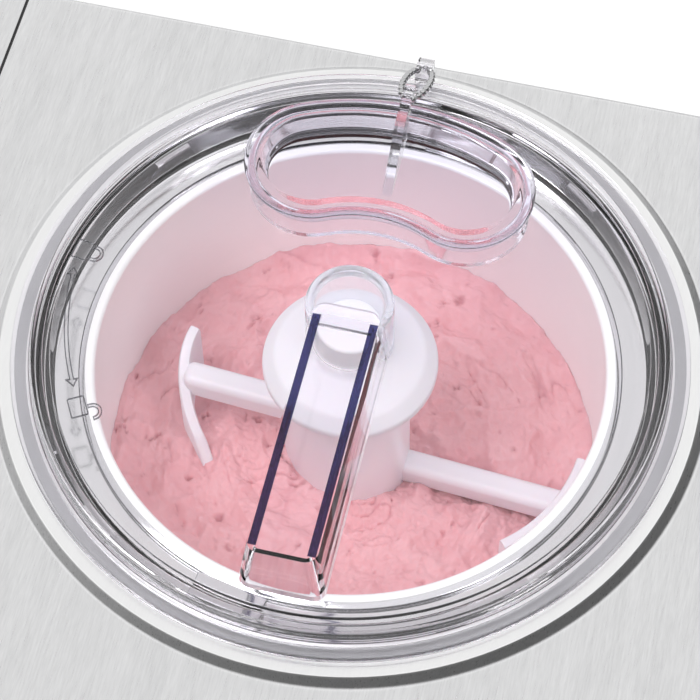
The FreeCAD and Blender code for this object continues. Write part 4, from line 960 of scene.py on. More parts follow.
@dataclass
class ClearLid:
    """Clear lid: stepped rim, skirt, lugs, filling neck, tether post, handle and centre boss."""

    air: float = 0.1
    root: float = 1.2
    sharp: float = 50.0
    disc_bottom: float = 2.4
    fill_radius: float = 103.0
    step_top: float = 112.2
    step_foot: float = 113.4
    flange_radius: float = 120.0
    flange_under: float = -2.0
    groove_radius: float = 110.8
    skirt_outer: float = 108.2
    skirt_inner: float = 105.8
    skirt_foot: float = -10.2
    neck_outer: float = 23.2
    neck_inner: float = 21.0
    neck_top: float = 18.0
    lug_count: int = 4
    lug_first: float = 31.0
    lug_inner: float = 108.25
    lug_outer: float = 110.6
    lug_half: float = 5.1
    lug_low: float = -9.8
    lug_high: float = -7.0
    post_near: float = 117.4
    post_far: float = 127.0
    post_top: float = 7.0
    post_foot: float = -1.9
    post_step: float = 120.3
    post_width: float = 6.0
    boss_bore: float = 12.7
    boss_radius: float = 15.7
    boss_top: float = 30.0
    roof_dip: float = 1.0
    roof_under: float = 2.4
    boss_draft: float = 0.3
    rim_slope: float = 0.4
    room_above: float = 4.0
    stub_room: float = 16.0
    grip_start: float = 1.5
    grip_top: float = 28.0
    grip_half: float = 15.0
    grip_reach: float = 101.0
    grip_wall: float = 2.8
    side_draft: float = 3.0
    end_draft: float = 2.5
    grip_corner: float = 4.5
    least_corner: float = 0.8

    def build_shell(self) -> Object:
        """Turned rim and skirt, and the flat disc with its two openings.

        Returns:
            The shell.
        """
        bm = bmesh.new()
        add_turned(bm, fillet_path([
            (self.fill_radius, DISC_TOP, 0), (self.step_top, DISC_TOP, 0.9), (self.step_foot, 0.0, 0.9),
            (self.flange_radius, 0.0, 0.8), (self.flange_radius, self.flange_under, 0.6),
            (self.groove_radius, self.flange_under, 0.6), (self.groove_radius, self.disc_bottom, 0.4),
            (self.skirt_outer, self.disc_bottom, 0.4), (self.skirt_outer, self.skirt_foot, 0.8),
            (self.skirt_inner, self.skirt_foot, 0.8), (self.skirt_inner, self.disc_bottom, 0.5),
            (self.fill_radius, self.disc_bottom, 0)]), FLANGE_Z)
        opening = self.neck_inner * MM
        bore = self.boss_bore * MM
        levels = (DISC_TOP * MM, self.disc_bottom * MM)
        kidney_sweep(bm, [(opening, level) for level in levels])
        for level in levels:
            z = FLANGE_Z + level
            add_fill(bm, [ring(self.fill_radius * MM, z), kidney_loop(opening, level), ring(bore, z)])
        add_loops(bm, [ring(bore, FLANGE_Z + level) for level in levels])
        return finish_mesh("lid_clear_shell", bm, self.sharp)

    def build_neck(self) -> Object:
        """Upright wall round the filling opening, closed underneath.

        Returns:
            The neck.
        """
        bm = bmesh.new()
        foot = DISC_TOP + self.air
        wall = fillet_path([
            (self.neck_outer, foot, 0), (self.neck_outer, self.neck_top, 0.8),
            (self.neck_inner, self.neck_top, 0.8), (self.neck_inner, foot, 0)])
        kidney_sweep(bm, [*wall, wall[0]])
        return finish_mesh("lid_clear_neck", bm, self.sharp)

    def build_details(self) -> Object:
        """Locking lugs and the tether post.

        Returns:
            Lugs and post as one piece.
        """
        bm = bmesh.new()
        for i in range(self.lug_count):
            add_block(bm, lid_point(self.lug_inner, -self.lug_half, self.lug_low),
                      lid_point(self.lug_outer, self.lug_half, self.lug_high),
                      math.radians(self.lug_first + 360.0 / self.lug_count * i))
        outline = fillet_path([
            (self.post_near, self.air, 0), (self.post_near, self.post_top, 2.5),
            (self.post_far, self.post_top, 4.5), (self.post_far, self.post_foot, 3.5),
            (self.post_step, self.post_foot, 0), (self.post_step, self.air, 0)], closed=True)
        add_plate(bm, outline, [eye_path(POST_EYE)], self.post_width * MM, across_plate)
        return finish_mesh("lid_lugs_and_post", bm, rounding=0.4)

    def build_boss(self) -> Object:
        """Hollow centre boss with a thin roof.

        Returns:
            The boss, cut away where the grip runs into it.
        """
        bm = bmesh.new()
        foot = DISC_TOP + self.air
        roof = self.boss_top - self.roof_dip
        ceiling = self.boss_top - self.roof_under
        add_turned(bm, fillet_path([
            (self.boss_bore, foot, 0), (self.boss_radius, foot, 0),
            (self.boss_radius - self.boss_draft, self.boss_top, 1.3),
            (self.boss_bore + self.rim_slope, self.boss_top, 0.9), (self.boss_bore, roof, 0.5),
            (0.0, roof, 0)]), FLANGE_Z)
        add_turned(bm, fillet_path([
            (self.boss_bore, foot, 0), (self.boss_bore - self.boss_draft, ceiling, 1.2),
            (0.0, ceiling, 0)]), FLANGE_Z)
        made = finish_mesh("lid_clear_boss", bm, self.sharp)
        room = self.grip("grip_room", -self.air, DISC_TOP - self.root, self.boss_top + self.room_above)
        carve(made, room, Carving.CUT)
        sharpen(made, self.sharp)
        return made

    def build_handle(self) -> Object:
        """Hollow drafted grip, open underneath, that runs into the boss and ends near its middle.

        Returns:
            The grip.
        """
        made = self.grip("handle_grip", 0.0, DISC_TOP - self.root, self.grip_top)
        hollow = self.grip("handle_hollow", self.grip_wall, DISC_TOP - 2 * self.root,
                           self.grip_top - self.grip_wall)
        room = bmesh.new()
        add_capped(room, [ring(self.boss_bore * MM, FLANGE_Z + z * MM) for z in (0.0, self.stub_room)])
        carve(made, finish_mesh("handle_end", room), Carving.CUT)
        round_edges(made, 1.0, 4, 30.0, harden=False)
        settle(made)
        carve(made, hollow, Carving.CUT)
        return made

    def build_moulding(self) -> Object:
        """Shell and grip as one clear moulding.

        Returns:
            The moulding, its level faces and large faces flat.
        """
        shell = self.build_shell()
        carve(shell, self.build_handle(), Carving.JOIN)
        for face in shell.data.polygons:
            face.use_smooth = len(face.vertices) <= 4 and abs(face.normal.z) < 0.9999
        sharpen(shell, 40.0)
        return shell

    def grip(self, name: str, inset: float, low: float, high: float) -> Object:
        """Drafted block of the grip.

        Args:
            name: Name of the block.
            inset: Distance in from the grip's own faces.
            low: Height of its underside.
            high: Height of its top.

        Returns:
            The block.
        """
        bm = bmesh.new()
        loops = []
        corner = max(self.grip_corner - inset, self.least_corner)
        near = self.grip_start + inset
        for z in (low, high):
            rise = (z - DISC_TOP) / (self.grip_top - DISC_TOP)
            half = self.grip_half - self.side_draft * rise - inset
            reach = self.grip_reach - self.end_draft * rise - inset
            path = fillet_path([(-half, -reach, corner), (half, -reach, corner), (half, -near, corner),
                                (-half, -near, corner)], closed=True)
            loops.append([BOWL_AXIS + Vector((x, y, FLANGE_Z + z * MM)) for x, y in path])
        add_capped(bm, loops)
        return finish_mesh(name, bm)

    def dress(self) -> None:
        """Builds the pieces and seats them on the lid."""
        seat(self.build_moulding(), "lid", Finishes.clear, ["lid_shell", "lid_handle"])
        seat(self.build_details(), "lid", Finishes.clear)
        seat(self.build_boss(), "lid", Finishes.thin_clear)
        seat(self.build_neck(), "lid", Finishes.cap_clear)


@dataclass
class LidSigns:
    """Raised locking signs on the lid: a shut padlock, a two-headed arrow and an open padlock."""

    middle: float = 5.3
    rise: float = 0.5
    line: float = 0.4
    lock_width: float = 8.0
    lock_height: float = 6.2
    lock_corner: float = 0.7
    shackle: float = 2.6
    shackle_half: float = 0.75
    shackle_gap: float = 0.25
    shackle_leg: float = 1.2
    open_leg: float = 0.8
    open_swing: float = 3.3
    shut_radius: float = 102.9
    shut_angle: float = 172.0
    open_radius: float = 98.0
    open_angle: float = 209.4
    arrow_first: float = 176.2
    arrow_last: float = 204.6
    arrow_half: float = 0.85
    arrow_out: float = 0.2
    arrow_drift: float = 5.2
    drift_power: float = 0.8
    head_half: float = 2.3
    head_length: float = 3.52

    def spot(self, radius: float, degrees: float) -> Place:
        """Local plane at a place on the lid: u towards the axis, v round it.

        Args:
            radius: Distance of the place from the axis.
            degrees: Its direction.

        Returns:
            Function that places local points.
        """
        turn = math.radians(degrees)
        outward = Vector((math.cos(turn), math.sin(turn), 0.0))
        along = Vector((-math.sin(turn), math.cos(turn), 0.0))
        origin = BOWL_AXIS + outward * (radius * MM) + Vector((0, 0, FLANGE_Z + self.middle * MM))

        def place(u: float, v: float, offset: float) -> Vector:
            """Point for local coordinates."""
            return origin - outward * u + along * v + Vector((0, 0, offset))
        return place

    def on_disc(self, u: float, v: float, offset: float) -> Vector:
        """Point on the lid's disc: u right of the axis, v behind it."""
        return BOWL_AXIS + Vector((u, v, FLANGE_Z + self.middle * MM + offset))

    def padlock(self, bm: BMesh, radius: float, degrees: float, swing: float) -> None:
        """Padlock body and shackle.

        Args:
            bm: Mesh to add to.
            radius: Distance of the body's middle from the axis.
            degrees: Direction of the body's middle.
            swing: Sideways shift of the shackle, zero for a shut lock.
        """
        place = self.spot(radius, degrees)
        tall = self.lock_height / 2
        wide = self.lock_width / 2
        ends = ((-tall, -wide), (tall, -wide), (tall, wide), (-tall, wide))
        body = [(u, v, self.lock_corner) for u, v in ends]
        self.outlined(bm, fillet_path(body, closed=True), place)
        near = tall + self.shackle_gap
        far = near + self.shackle_leg
        free = near + self.open_leg if swing else near
        steps = 20
        band: List[Flat] = []
        for size, order in ((self.shackle + self.shackle_half, 1), (self.shackle - self.shackle_half, -1)):
            bow = [(far + size * math.sin(math.pi * i / steps), swing - size * math.cos(math.pi * i / steps))
                   for i in range(steps + 1)]
            side = [(near, swing - size), *bow, (free, swing + size)]
            band += side[::order]
        self.outlined(bm, in_metres(band), place)

    def outlined(self, bm: BMesh, outline: Sequence[Flat], place: Place) -> None:
        """Raised line that follows the inside of an outline.

        Args:
            bm: Mesh to add to.
            outline: Outline in the sign's own plane.
            place: That plane.
        """
        spots = [Vector(point) for point in outline]
        count = len(spots)
        area = sum(spots[i - 1].cross(spots[i]) for i in range(count))
        inward = math.copysign(self.line * MM, area)
        inner: List[Flat] = []
        for i, here in enumerate(spots):
            first = (here - spots[i - 1]).normalized()
            last = (spots[(i + 1) % count] - here).normalized()
            along = (first + last).normalized()
            square = Vector((-along.y, along.x))
            stretch = max(0.4, along.dot(first))
            spot = here + square * (inward / stretch)
            inner.append((spot.x, spot.y))
        add_plate(bm, outline, [inner], self.rise * MM, place)

    def arrow_point(self, degrees: float, off: float) -> Flat:
        """Point by the arrow's line, which nears the axis towards the open lock.

        Args:
            degrees: Direction of the point from the axis.
            off: Its distance outside the line.

        Returns:
            The point in metres from the axis.
        """
        share = max(0.0, (degrees - self.arrow_first) / (self.arrow_last - self.arrow_first))
        reach = self.shut_radius + self.arrow_out - self.arrow_drift * share ** self.drift_power
        turn = math.radians(degrees)
        return ((reach + off) * math.cos(turn) * MM, (reach + off) * math.sin(turn) * MM)

    def arrow(self, bm: BMesh) -> None:
        """Curved two-headed arrow between the two locks.

        Args:
            bm: Mesh to add to.
        """
        steps = 40
        head = math.degrees(self.head_length / self.shut_radius)
        low = self.arrow_first + head
        high = self.arrow_last - head
        turns = [low + (high - low) * i / steps for i in range(steps + 1)]
        outside = [self.arrow_point(turn, self.arrow_half) for turn in turns]
        inside = [self.arrow_point(turn, -self.arrow_half) for turn in turns]
        heads = [[self.arrow_point(turn, self.head_half), self.arrow_point(tip, 0.0),
                  self.arrow_point(turn, -self.head_half)]
                 for turn, tip in ((high, self.arrow_last), (low, self.arrow_first))]
        self.outlined(bm, outside + heads[0] + inside[::-1] + heads[1][::-1], self.on_disc)

    def dress(self) -> None:
        """Builds the signs and seats them on the lid."""
        bm = bmesh.new()
        self.padlock(bm, self.shut_radius, self.shut_angle, 0.0)
        self.padlock(bm, self.open_radius, self.open_angle, self.open_swing)
        self.arrow(bm)
        seat(finish_mesh("lid_lock_signs", bm), "lid", Finishes.etched)


@dataclass
class FillingCap:
    """Kidney-shaped cap with a dished top, a fin and an eye."""

    half: float = 24.7
    rim_top: float = 22.2
    rim_low: float = 18.2
    floor_top: float = 12.7
    floor_bottom: float = 10.7
    plug_half: float = 20.4
    dish_half: float = 18.2
    dish_floor_half: float = 16.2
    air: float = 0.05
    fin_near: float = 57.0
    fin_bend: float = 79.0
    fin_far: float = 97.1
    fin_top: float = 28.7
    fin_back: float = 86.0
    fin_root: float = 83.7
    fin_width: float = 3.6

    def build(self) -> Object:
        """Swept rim, dish and plug, closed by the dish floor.

        Returns:
            The cap.
        """
        bm = bmesh.new()
        path = fillet_path([
            (self.dish_floor_half - 2.0, self.floor_top, 0), (self.dish_floor_half, self.floor_top, 1.5),
            (self.dish_half, self.rim_top, 1.2), (self.half, self.rim_top, 1.4),
            (self.half, self.rim_low, 0.8), (self.plug_half, self.rim_low, 0.4),
            (self.plug_half, self.floor_bottom, 1.2), (self.plug_half - 2.0, self.floor_bottom, 0)])
        add_capped(bm, [kidney_loop(half, z) for half, z in path])
        return finish_mesh("filling_cap", bm, 50.0)

    def build_fin(self) -> Object:
        """Upright fin with the eye of the tether.

        Returns:
            The fin.
        """
        bm = bmesh.new()
        foot = self.floor_top + self.air
        step = self.rim_top + self.air
        outline = fillet_path([
            (self.fin_near, foot, 0), (self.fin_bend, self.fin_top, 6.0), (self.fin_far, self.fin_top, 4.6),
            (self.fin_far, step, 2.0), (self.fin_back, step, 0), (self.fin_root, foot, 0)], closed=True)
        add_plate(bm, outline, [eye_path(FIN_EYE)], self.fin_width * MM, across_plate)
        return finish_mesh("filling_cap_fin", bm, rounding=0.7)

    def dress(self) -> None:
        """Builds the cap and its fin and seats them."""
        seat(self.build(), "cap", Finishes.cap_clear, ["fill_cap"])
        seat(self.build_fin(), "cap", Finishes.fin_clear)


@dataclass
class TetherChain:
    """Ball chain looped through the fin's eye and the lid's post."""

    ball_radius: float = 1.3 * MM
    wire_radius: float = 0.4 * MM
    ball_count: int = 21
    half_width: float = 5.0 * MM
    past_eyes: float = 1.12
    arch: float = 2.0 * MM
    point_count: int = 12

    def eye(self, spot: Flat) -> Vector:
        """Middle of an eye of the lid's centre plane."""
        return across_plate(spot[0] * MM, spot[1] * MM, 0.0)

    def route(self) -> Object:
        """Closed smooth curve through both eyes.

        Returns:
            The curve's object.
        """
        near, far = self.eye(FIN_EYE), self.eye(POST_EYE)
        middle = (near + far) / 2
        reach = (far - near) / 2
        curve = bpy.data.curves.new("tether_route", "CURVE")
        curve.dimensions = "3D"
        spline = curve.splines.new("NURBS")
        spline.points.add(self.point_count - 1)
        for i, point in enumerate(spline.points):
            turn = FULL_TURN * i / self.point_count
            side = Vector((self.half_width * math.sin(turn), 0, self.arch * abs(math.sin(turn))))
            point.co = (*(middle + reach * (self.past_eyes * math.cos(turn)) + side), 1.0)
        spline.use_cyclic_u = True
        spline.order_u = 4
        spline.resolution_u = 12
        return link_object("cap_ball_chain", curve)

    def tree(self) -> NodeTree:
        """Node tree that strings balls and a wire along a curve.

        Returns:
            The tree.
        """
        graph, into, out = new_tree("ball_chain", TreeKind.GEOMETRY, {
            "Geometry": "Geometry", "Ball Radius": "Float", "Wire Radius": "Float", "Ball Count": "Int",
            "Finish": "Material"}, {"Geometry": "Geometry"})
        given = into.outputs
        beads = graph.add("GeometryNodeCurveToPoints", {
            "Curve": given["Geometry"], "Count": given["Ball Count"]}, mode="COUNT")
        ball = graph.add("GeometryNodeMeshIcoSphere", {"Radius": given["Ball Radius"], "Subdivisions": 3})
        strung = graph.add("GeometryNodeInstanceOnPoints", {
            "Points": beads.outputs["Points"], "Instance": ball.outputs["Mesh"]})
        section = graph.add("GeometryNodeCurvePrimitiveCircle", {
            "Radius": given["Wire Radius"], "Resolution": 8})
        wire = graph.add("GeometryNodeCurveToMesh", {
            "Curve": given["Geometry"], "Profile Curve": section.outputs["Curve"]})
        both = graph.add("GeometryNodeJoinGeometry", {"Geometry": strung.outputs["Instances"]})
        graph.set(both, {"Geometry": wire.outputs["Mesh"]})
        solid = graph.add("GeometryNodeRealizeInstances", {"Geometry": both.outputs["Geometry"]})
        smooth = graph.add("GeometryNodeSetShadeSmooth", {"Geometry": solid.outputs["Geometry"]})
        dressed = graph.add("GeometryNodeSetMaterial", {
            "Geometry": smooth.outputs["Geometry"], "Material": given["Finish"]})
        graph.set(out, {"Geometry": dressed.outputs["Geometry"]})
        return graph.tree

    def dress(self) -> None:
        """Strings the chain and hangs it between the lid and the cap."""
        route = self.route()
        add_nodes(route, self.tree(), {
            "Ball Radius": self.ball_radius, "Wire Radius": self.wire_radius, "Ball Count": self.ball_count,
            "Finish": Finishes.chain_metal.material()})
        made = link_object("cap_tether_chain", plain_mesh(route))
        bpy.data.objects.remove(route)
        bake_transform(made)
        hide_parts("cap_chain")
        LOG.info("piece %s between lid and cap", made.name)


@dataclass
class FreezerBowl:
    """Lift-out bowl with a rolled lip, a centre tube and two ears."""

    inner: float = 91.0
    outer: float = 92.8
    lip_radius: float = 97.0
    lip_top: float = -10.5
    lip_height: float = 2.2
    floor: float = -122.0
    bottom: float = -124.0
    tube_radius: float = 11.2
    tube_bore: float = 9.0
    tube_top: float = -34.0
    tube_air: float = 0.05
    ear_angle: float = 259.0
    ear_inner: float = 96.4
    ear_outer: float = 103.0
    ear_half: float = 13.0
    ear_proud: float = 0.1
    ear_depth: float = 2.1

    def build(self) -> Object:
        """Turned bowl with its lip.

        Returns:
            The bowl.
        """
        lip_low = self.lip_top - self.lip_height
        hole = self.tube_radius + self.tube_air
        return turned_piece("freezer_bowl", [
            (hole, self.bottom, 0.3), (self.outer, self.bottom, 5.0), (self.outer, lip_low, 0.8),
            (self.lip_radius, lip_low, 0.9), (self.lip_radius, self.lip_top - 0.8, 1.0),
            (self.lip_radius - 2.6, self.lip_top, 3.0), (self.inner, self.lip_top, 2.2),
            (self.inner, self.floor, 7.0), (hole, self.floor, 0.3)], 60.0)

    def build_tube(self) -> Object:
        """Centre tube pressed into the bowl's floor.

        Returns:
            The tube.
        """
        return turned_piece("freezer_bowl_tube", [
            (self.tube_bore, self.bottom, 0.5), (self.tube_radius, self.bottom, 0.5),
            (self.tube_radius, self.tube_top, 0.9), (self.tube_bore, self.tube_top, 0.9)], 60.0)

    def build_ears(self) -> Object:
        """Two lifting ears on the lip.

        Returns:
            Both ears as one piece.
        """
        bm = bmesh.new()
        for turn in (0.0, 180.0):
            add_block(bm, lid_point(self.ear_inner, -self.ear_half, self.lip_top - self.ear_depth),
                      lid_point(self.ear_outer, self.ear_half, self.lip_top + self.ear_proud),
                      math.radians(self.ear_angle + turn))
        return finish_mesh("freezer_bowl_ears", bm, rounding=0.8)

    def dress(self) -> None:
        """Builds the bowl and seats it."""
        seat(self.build(), "bowl", Finishes.bowl_metal, ["bowl"])
        seat(self.build_tube(), "bowl", Finishes.bowl_metal, ["bowl_tube"])
        seat(self.build_ears(), "bowl", Finishes.bowl_metal)


@dataclass
class MixingPaddle:
    """White paddle: column, two arms with curved blades, and a domed cap with its stub."""

    column: float = 21.5
    column_foot: float = 22.6
    bore: float = 12.6
    hub_z: float = -14.0
    foot_z: float = -121.2
    arm_half: float = 5.0
    arm_root: float = 19.0
    left_reach: float = 65.0
    right_reach: float = 84.0
    left_top: float = -49.0
    right_top: float = -72.0
    arm_tall: float = 12.0
    bar_top: float = -111.8
    bar_tall: float = 9.0
    blade_half: float = 2.25
    blade_low: float = -120.8
    left_start: Flat = (-66.5, 16.5)
    left_heading: float = 260.0
    left_arcs: Sequence[Flat] = ((36.0, 60.0), (30.0, -40.0))
    left_tops: Flat = (-46.0, -88.0)
    right_start: Flat = (86.0, 12.0)
    right_heading: float = 268.0
    right_arcs: Sequence[Flat] = ((60.0, -45.0),)
    right_tops: Flat = (-59.0, -60.0)
    dome_foot: float = 29.6
    dome: Sequence[Corner] = ((31.4, -12.4, 1.4), (31.4, -9.6, 2.4), (27.0, -5.0, 7.0), (14.5, 0.5, 6.0),
                              (11.6, 4.0, 3.0))
    stub_radius: float = 11.4
    stub_top: float = 14.0

    def place(self, spot: Vector, z: float) -> Vector:
        """Point in the frame for a spot in millimetres about the axis and a height from the flange plane."""
        turned = Matrix.Rotation(PADDLE_ANGLE, 3, "Z") @ Vector((spot.x, spot.y, 0.0))
        return BOWL_AXIS + turned * MM + Vector((0, 0, FLANGE_Z + z * MM))

    def band(self, bm: BMesh, start: Flat, heading: float,
             arcs: Sequence[Flat], tops: Flat) -> None:
        """Curved upright blade along tangent arcs.

        Args:
            bm: Mesh to add to.
            start: Start of the centre line in millimetres from the axis.
            heading: First direction in degrees.
            arcs: (radius, sweep) of each arc; a negative sweep turns right.
            tops: Height of the top edge at the start and at the end.
        """
        spots: List[Tuple[Vector, float]] = []
        here = Vector((*start, 0.0))
        way = math.radians(heading)
        steps = 18
        for radius, sweep in arcs:
            side = math.copysign(1.0, sweep)
            centre = here + Vector((-math.sin(way), math.cos(way), 0.0)) * radius * side
            for i in range(1 if spots else 0, steps + 1):
                turned = way + math.radians(sweep) * i / steps
                spot = centre - Vector((-math.sin(turned), math.cos(turned), 0.0)) * radius * side
                spots.append((spot, turned))
            here, way = spots[-1][0], way + math.radians(sweep)
        loops = []
        half = self.blade_half
        for i, (spot, turned) in enumerate(spots):
            share = i / (len(spots) - 1)
            top = tops[0] + (tops[1] - tops[0]) * share * share * (3 - 2 * share)
            across = Vector((-math.sin(turned), math.cos(turned), 0.0))
            section = [(-half, self.blade_low), (half, self.blade_low), (half, top - 1.6),
                       (half * 0.75, top - 0.4), (0.0, top), (-half * 0.75, top - 0.4), (-half, top - 1.6)]
            loops.append([self.place(spot + across * u, z) for u, z in section])
        add_loops(bm, loops)
        for loop in (loops[0], loops[-1]):
            bm.faces.new([bm.verts.new(point) for point in loop])

    def build_frame(self) -> Object:
        """Column and blades.

        Returns:
            The frame.
        """
        bm = bmesh.new()
        top = self.hub_z + 1.0
        add_turned(bm, fillet_path([
            (self.bore, self.foot_z, 0.6), (self.column_foot, self.foot_z, 1.0), (self.column, top, 0.0),
            (self.bore, top, 0.0)], closed=True), FLANGE_Z, closed=True)
        self.band(bm, self.left_start, self.left_heading, self.left_arcs, self.left_tops)
        self.band(bm, self.right_start, self.right_heading, self.right_arcs, self.right_tops)
        return finish_mesh("paddle_frame", bm, 45.0)

    def build_arms(self) -> Object:
        """Two arms and two foot bars with rounded edges.

        Returns:
            Arms and bars as one piece.
        """
        bm = bmesh.new()
        for start, end, arm_top in ((-self.left_reach, -self.arm_root, self.left_top),
                                    (self.arm_root, self.right_reach, self.right_top)):
            for top, tall in ((arm_top, self.arm_tall), (self.bar_top, self.bar_tall)):
                add_block(bm, lid_point(start, -self.arm_half, top - tall),
                          lid_point(end, self.arm_half, top), PADDLE_ANGLE)
        made = finish_mesh("paddle_arms", bm)
        round_edges(made, 3.2, 5)
        return made

    def build_cap(self) -> Object:
        """Domed cap and the stub that runs in the lid's boss.

        Returns:
            The cap.
        """
        return turned_piece("paddle_dome", [
            (0.0, self.hub_z, 0), (self.dome_foot, self.hub_z, 0.8), *self.dome,
            (self.stub_radius, self.stub_top, 1.2), (0.0, self.stub_top, 0)], 60.0, closed=False)

    def dress(self) -> None:
        """Builds the paddle and seats it."""
        seat(self.build_frame(), "paddle", Finishes.white_moulding, ["paddle_body"])
        seat(self.build_arms(), "paddle", Finishes.white_moulding)
        seat(self.build_cap(), "paddle", Finishes.white_moulding, ["paddle_cap"])


@dataclass
class IceCream:
    """Churned ice cream that fills the lower part of the bowl and goes round with the paddle."""

    inner: float = 21.0
    outer: float = 90.9
    level: float = -78.0
    floor: float = -121.4
    rings: int = 130
    steps: int = 480
    fold_height: float = 3.2
    lump_height: float = 2.8
    crease_height: float = 1.6
    crumb_height: float = 1.3
    fine_height: float = 0.5
    pit_depth: float = 1.8
    climb_start: float = 74.0
    climb_width: float = 17.0
    climb_height: float = 3.0
    climb_spread: float = 2.0
    trough_depth: float = 7.0
    trough_width: float = 9.0

    def pits(self, x: float, y: float) -> float:
        """Depth of the torn pits and creases at a place.

        Args:
            x: Distance right of the axis.
            y: Distance behind the axis.

        Returns:
            Depth from 0 to 1.
        """
        torn = noise.fractal(Vector((x * 0.13, y * 0.13, 21.0)), 0.6, 2.3, 5)
        way = math.atan2(y, x)
        trail = Vector((math.hypot(x, y) * 0.16, math.cos(way) * 2.6, math.sin(way) * 2.6 + 13.0))
        crease = 1.0 - min(1.0, abs(noise.noise(trail)) * 7.0)
        patch = max(0.0, noise.noise(Vector((x * 0.035, y * 0.035, 31.0))) + 0.1)
        return min(1.0, max(0.0, torn * 2.4 - 1.35) + crease ** 3 * patch)

    def height(self, x: float, y: float) -> float:
        """Height of the churned surface above its mean level, in millimetres.

        Args:
            x: Distance right of the axis.
            y: Distance behind the axis.

        Returns:
            Sum of folds, lumps, crumbs and the climb at the bowl's wall, less the trough along the low arm.
        """
        reach = math.hypot(x, y)
        turn = math.atan2(y, x)
        warp = noise.noise(Vector((x * 0.03, y * 0.03, 2.4))) * 9.0
        folds = noise.noise(Vector(((reach + warp) * 0.11, math.cos(turn) * 2.0, math.sin(turn) * 2.0)))
        lumps = noise.noise(Vector((x * 0.05, y * 0.05, 4.2)))
        crease = 1.0 - abs(noise.noise(Vector((x * 0.07 + 3.0, y * 0.07, 7.7)))) * 2.0
        crumb = noise.fractal(Vector((x * 0.22, y * 0.22, 9.1)), 0.9, 2.1, 4)
        fine = noise.fractal(Vector((x * 0.55, y * 0.55, 5.0)), 0.8, 2.2, 3)
        shape = (self.fold_height * folds + self.lump_height * lumps + self.crease_height * crease ** 3
                 + self.crumb_height * crumb + self.fine_height * fine)
        edge = max(0.0, (reach - self.climb_start) / self.climb_width)
        ragged = noise.noise(Vector((math.cos(turn) * 6.0, math.sin(turn) * 6.0, reach * 0.1)))
        climb = (self.climb_height + self.climb_spread * ragged) * edge ** 2
        off = y * math.cos(PADDLE_ANGLE) - x * math.sin(PADDLE_ANGLE)
        trough = self.trough_depth * math.exp(-(off / self.trough_width) ** 2) if x > 0 else 0.0
        return shape + climb - trough - self.pit_depth * self.pits(x, y)

    def build(self) -> Object:
        """Displaced disc with a plain side and floor.

        Returns:
            The ice cream, with the depth of its pits as an attribute that its finish darkens as painted
            shade.
        """
        bm = bmesh.new()
        floor = FLANGE_Z + self.floor * MM
        loops = [ring(radius * MM, floor, self.steps) for radius in (self.inner, self.outer)]
        for i in range(self.rings + 1):
            radius = self.outer + (self.inner - self.outer) * i / self.rings
            loop = ring(radius * MM, 0.0, self.steps)
            for point in loop:
                x = (point.x - BOWL_AXIS.x) / MM
                y = (point.y - BOWL_AXIS.y) / MM
                point.z = FLANGE_Z + (self.level + self.height(x, y)) * MM
            loops.append(loop)
        loops.append(loops[0])
        add_loops(bm, loops)
        made = finish_mesh("churned_ice_cream", bm, 70.0)
        hollow = made.data.attributes.new("hollow", "FLOAT", "POINT")
        for entry, vert in zip(hollow.data, made.data.vertices):
            entry.value = self.pits((vert.co.x - BOWL_AXIS.x) / MM, (vert.co.y - BOWL_AXIS.y) / MM)
        return made

    def dress(self) -> None:
        """Builds the ice cream and seats it on the paddle."""
        piece = self.build()
        piece.data.materials.append(Finishes.churned.material())
        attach(piece, "paddle")
        LOG.info("piece %s on paddle", piece.name)


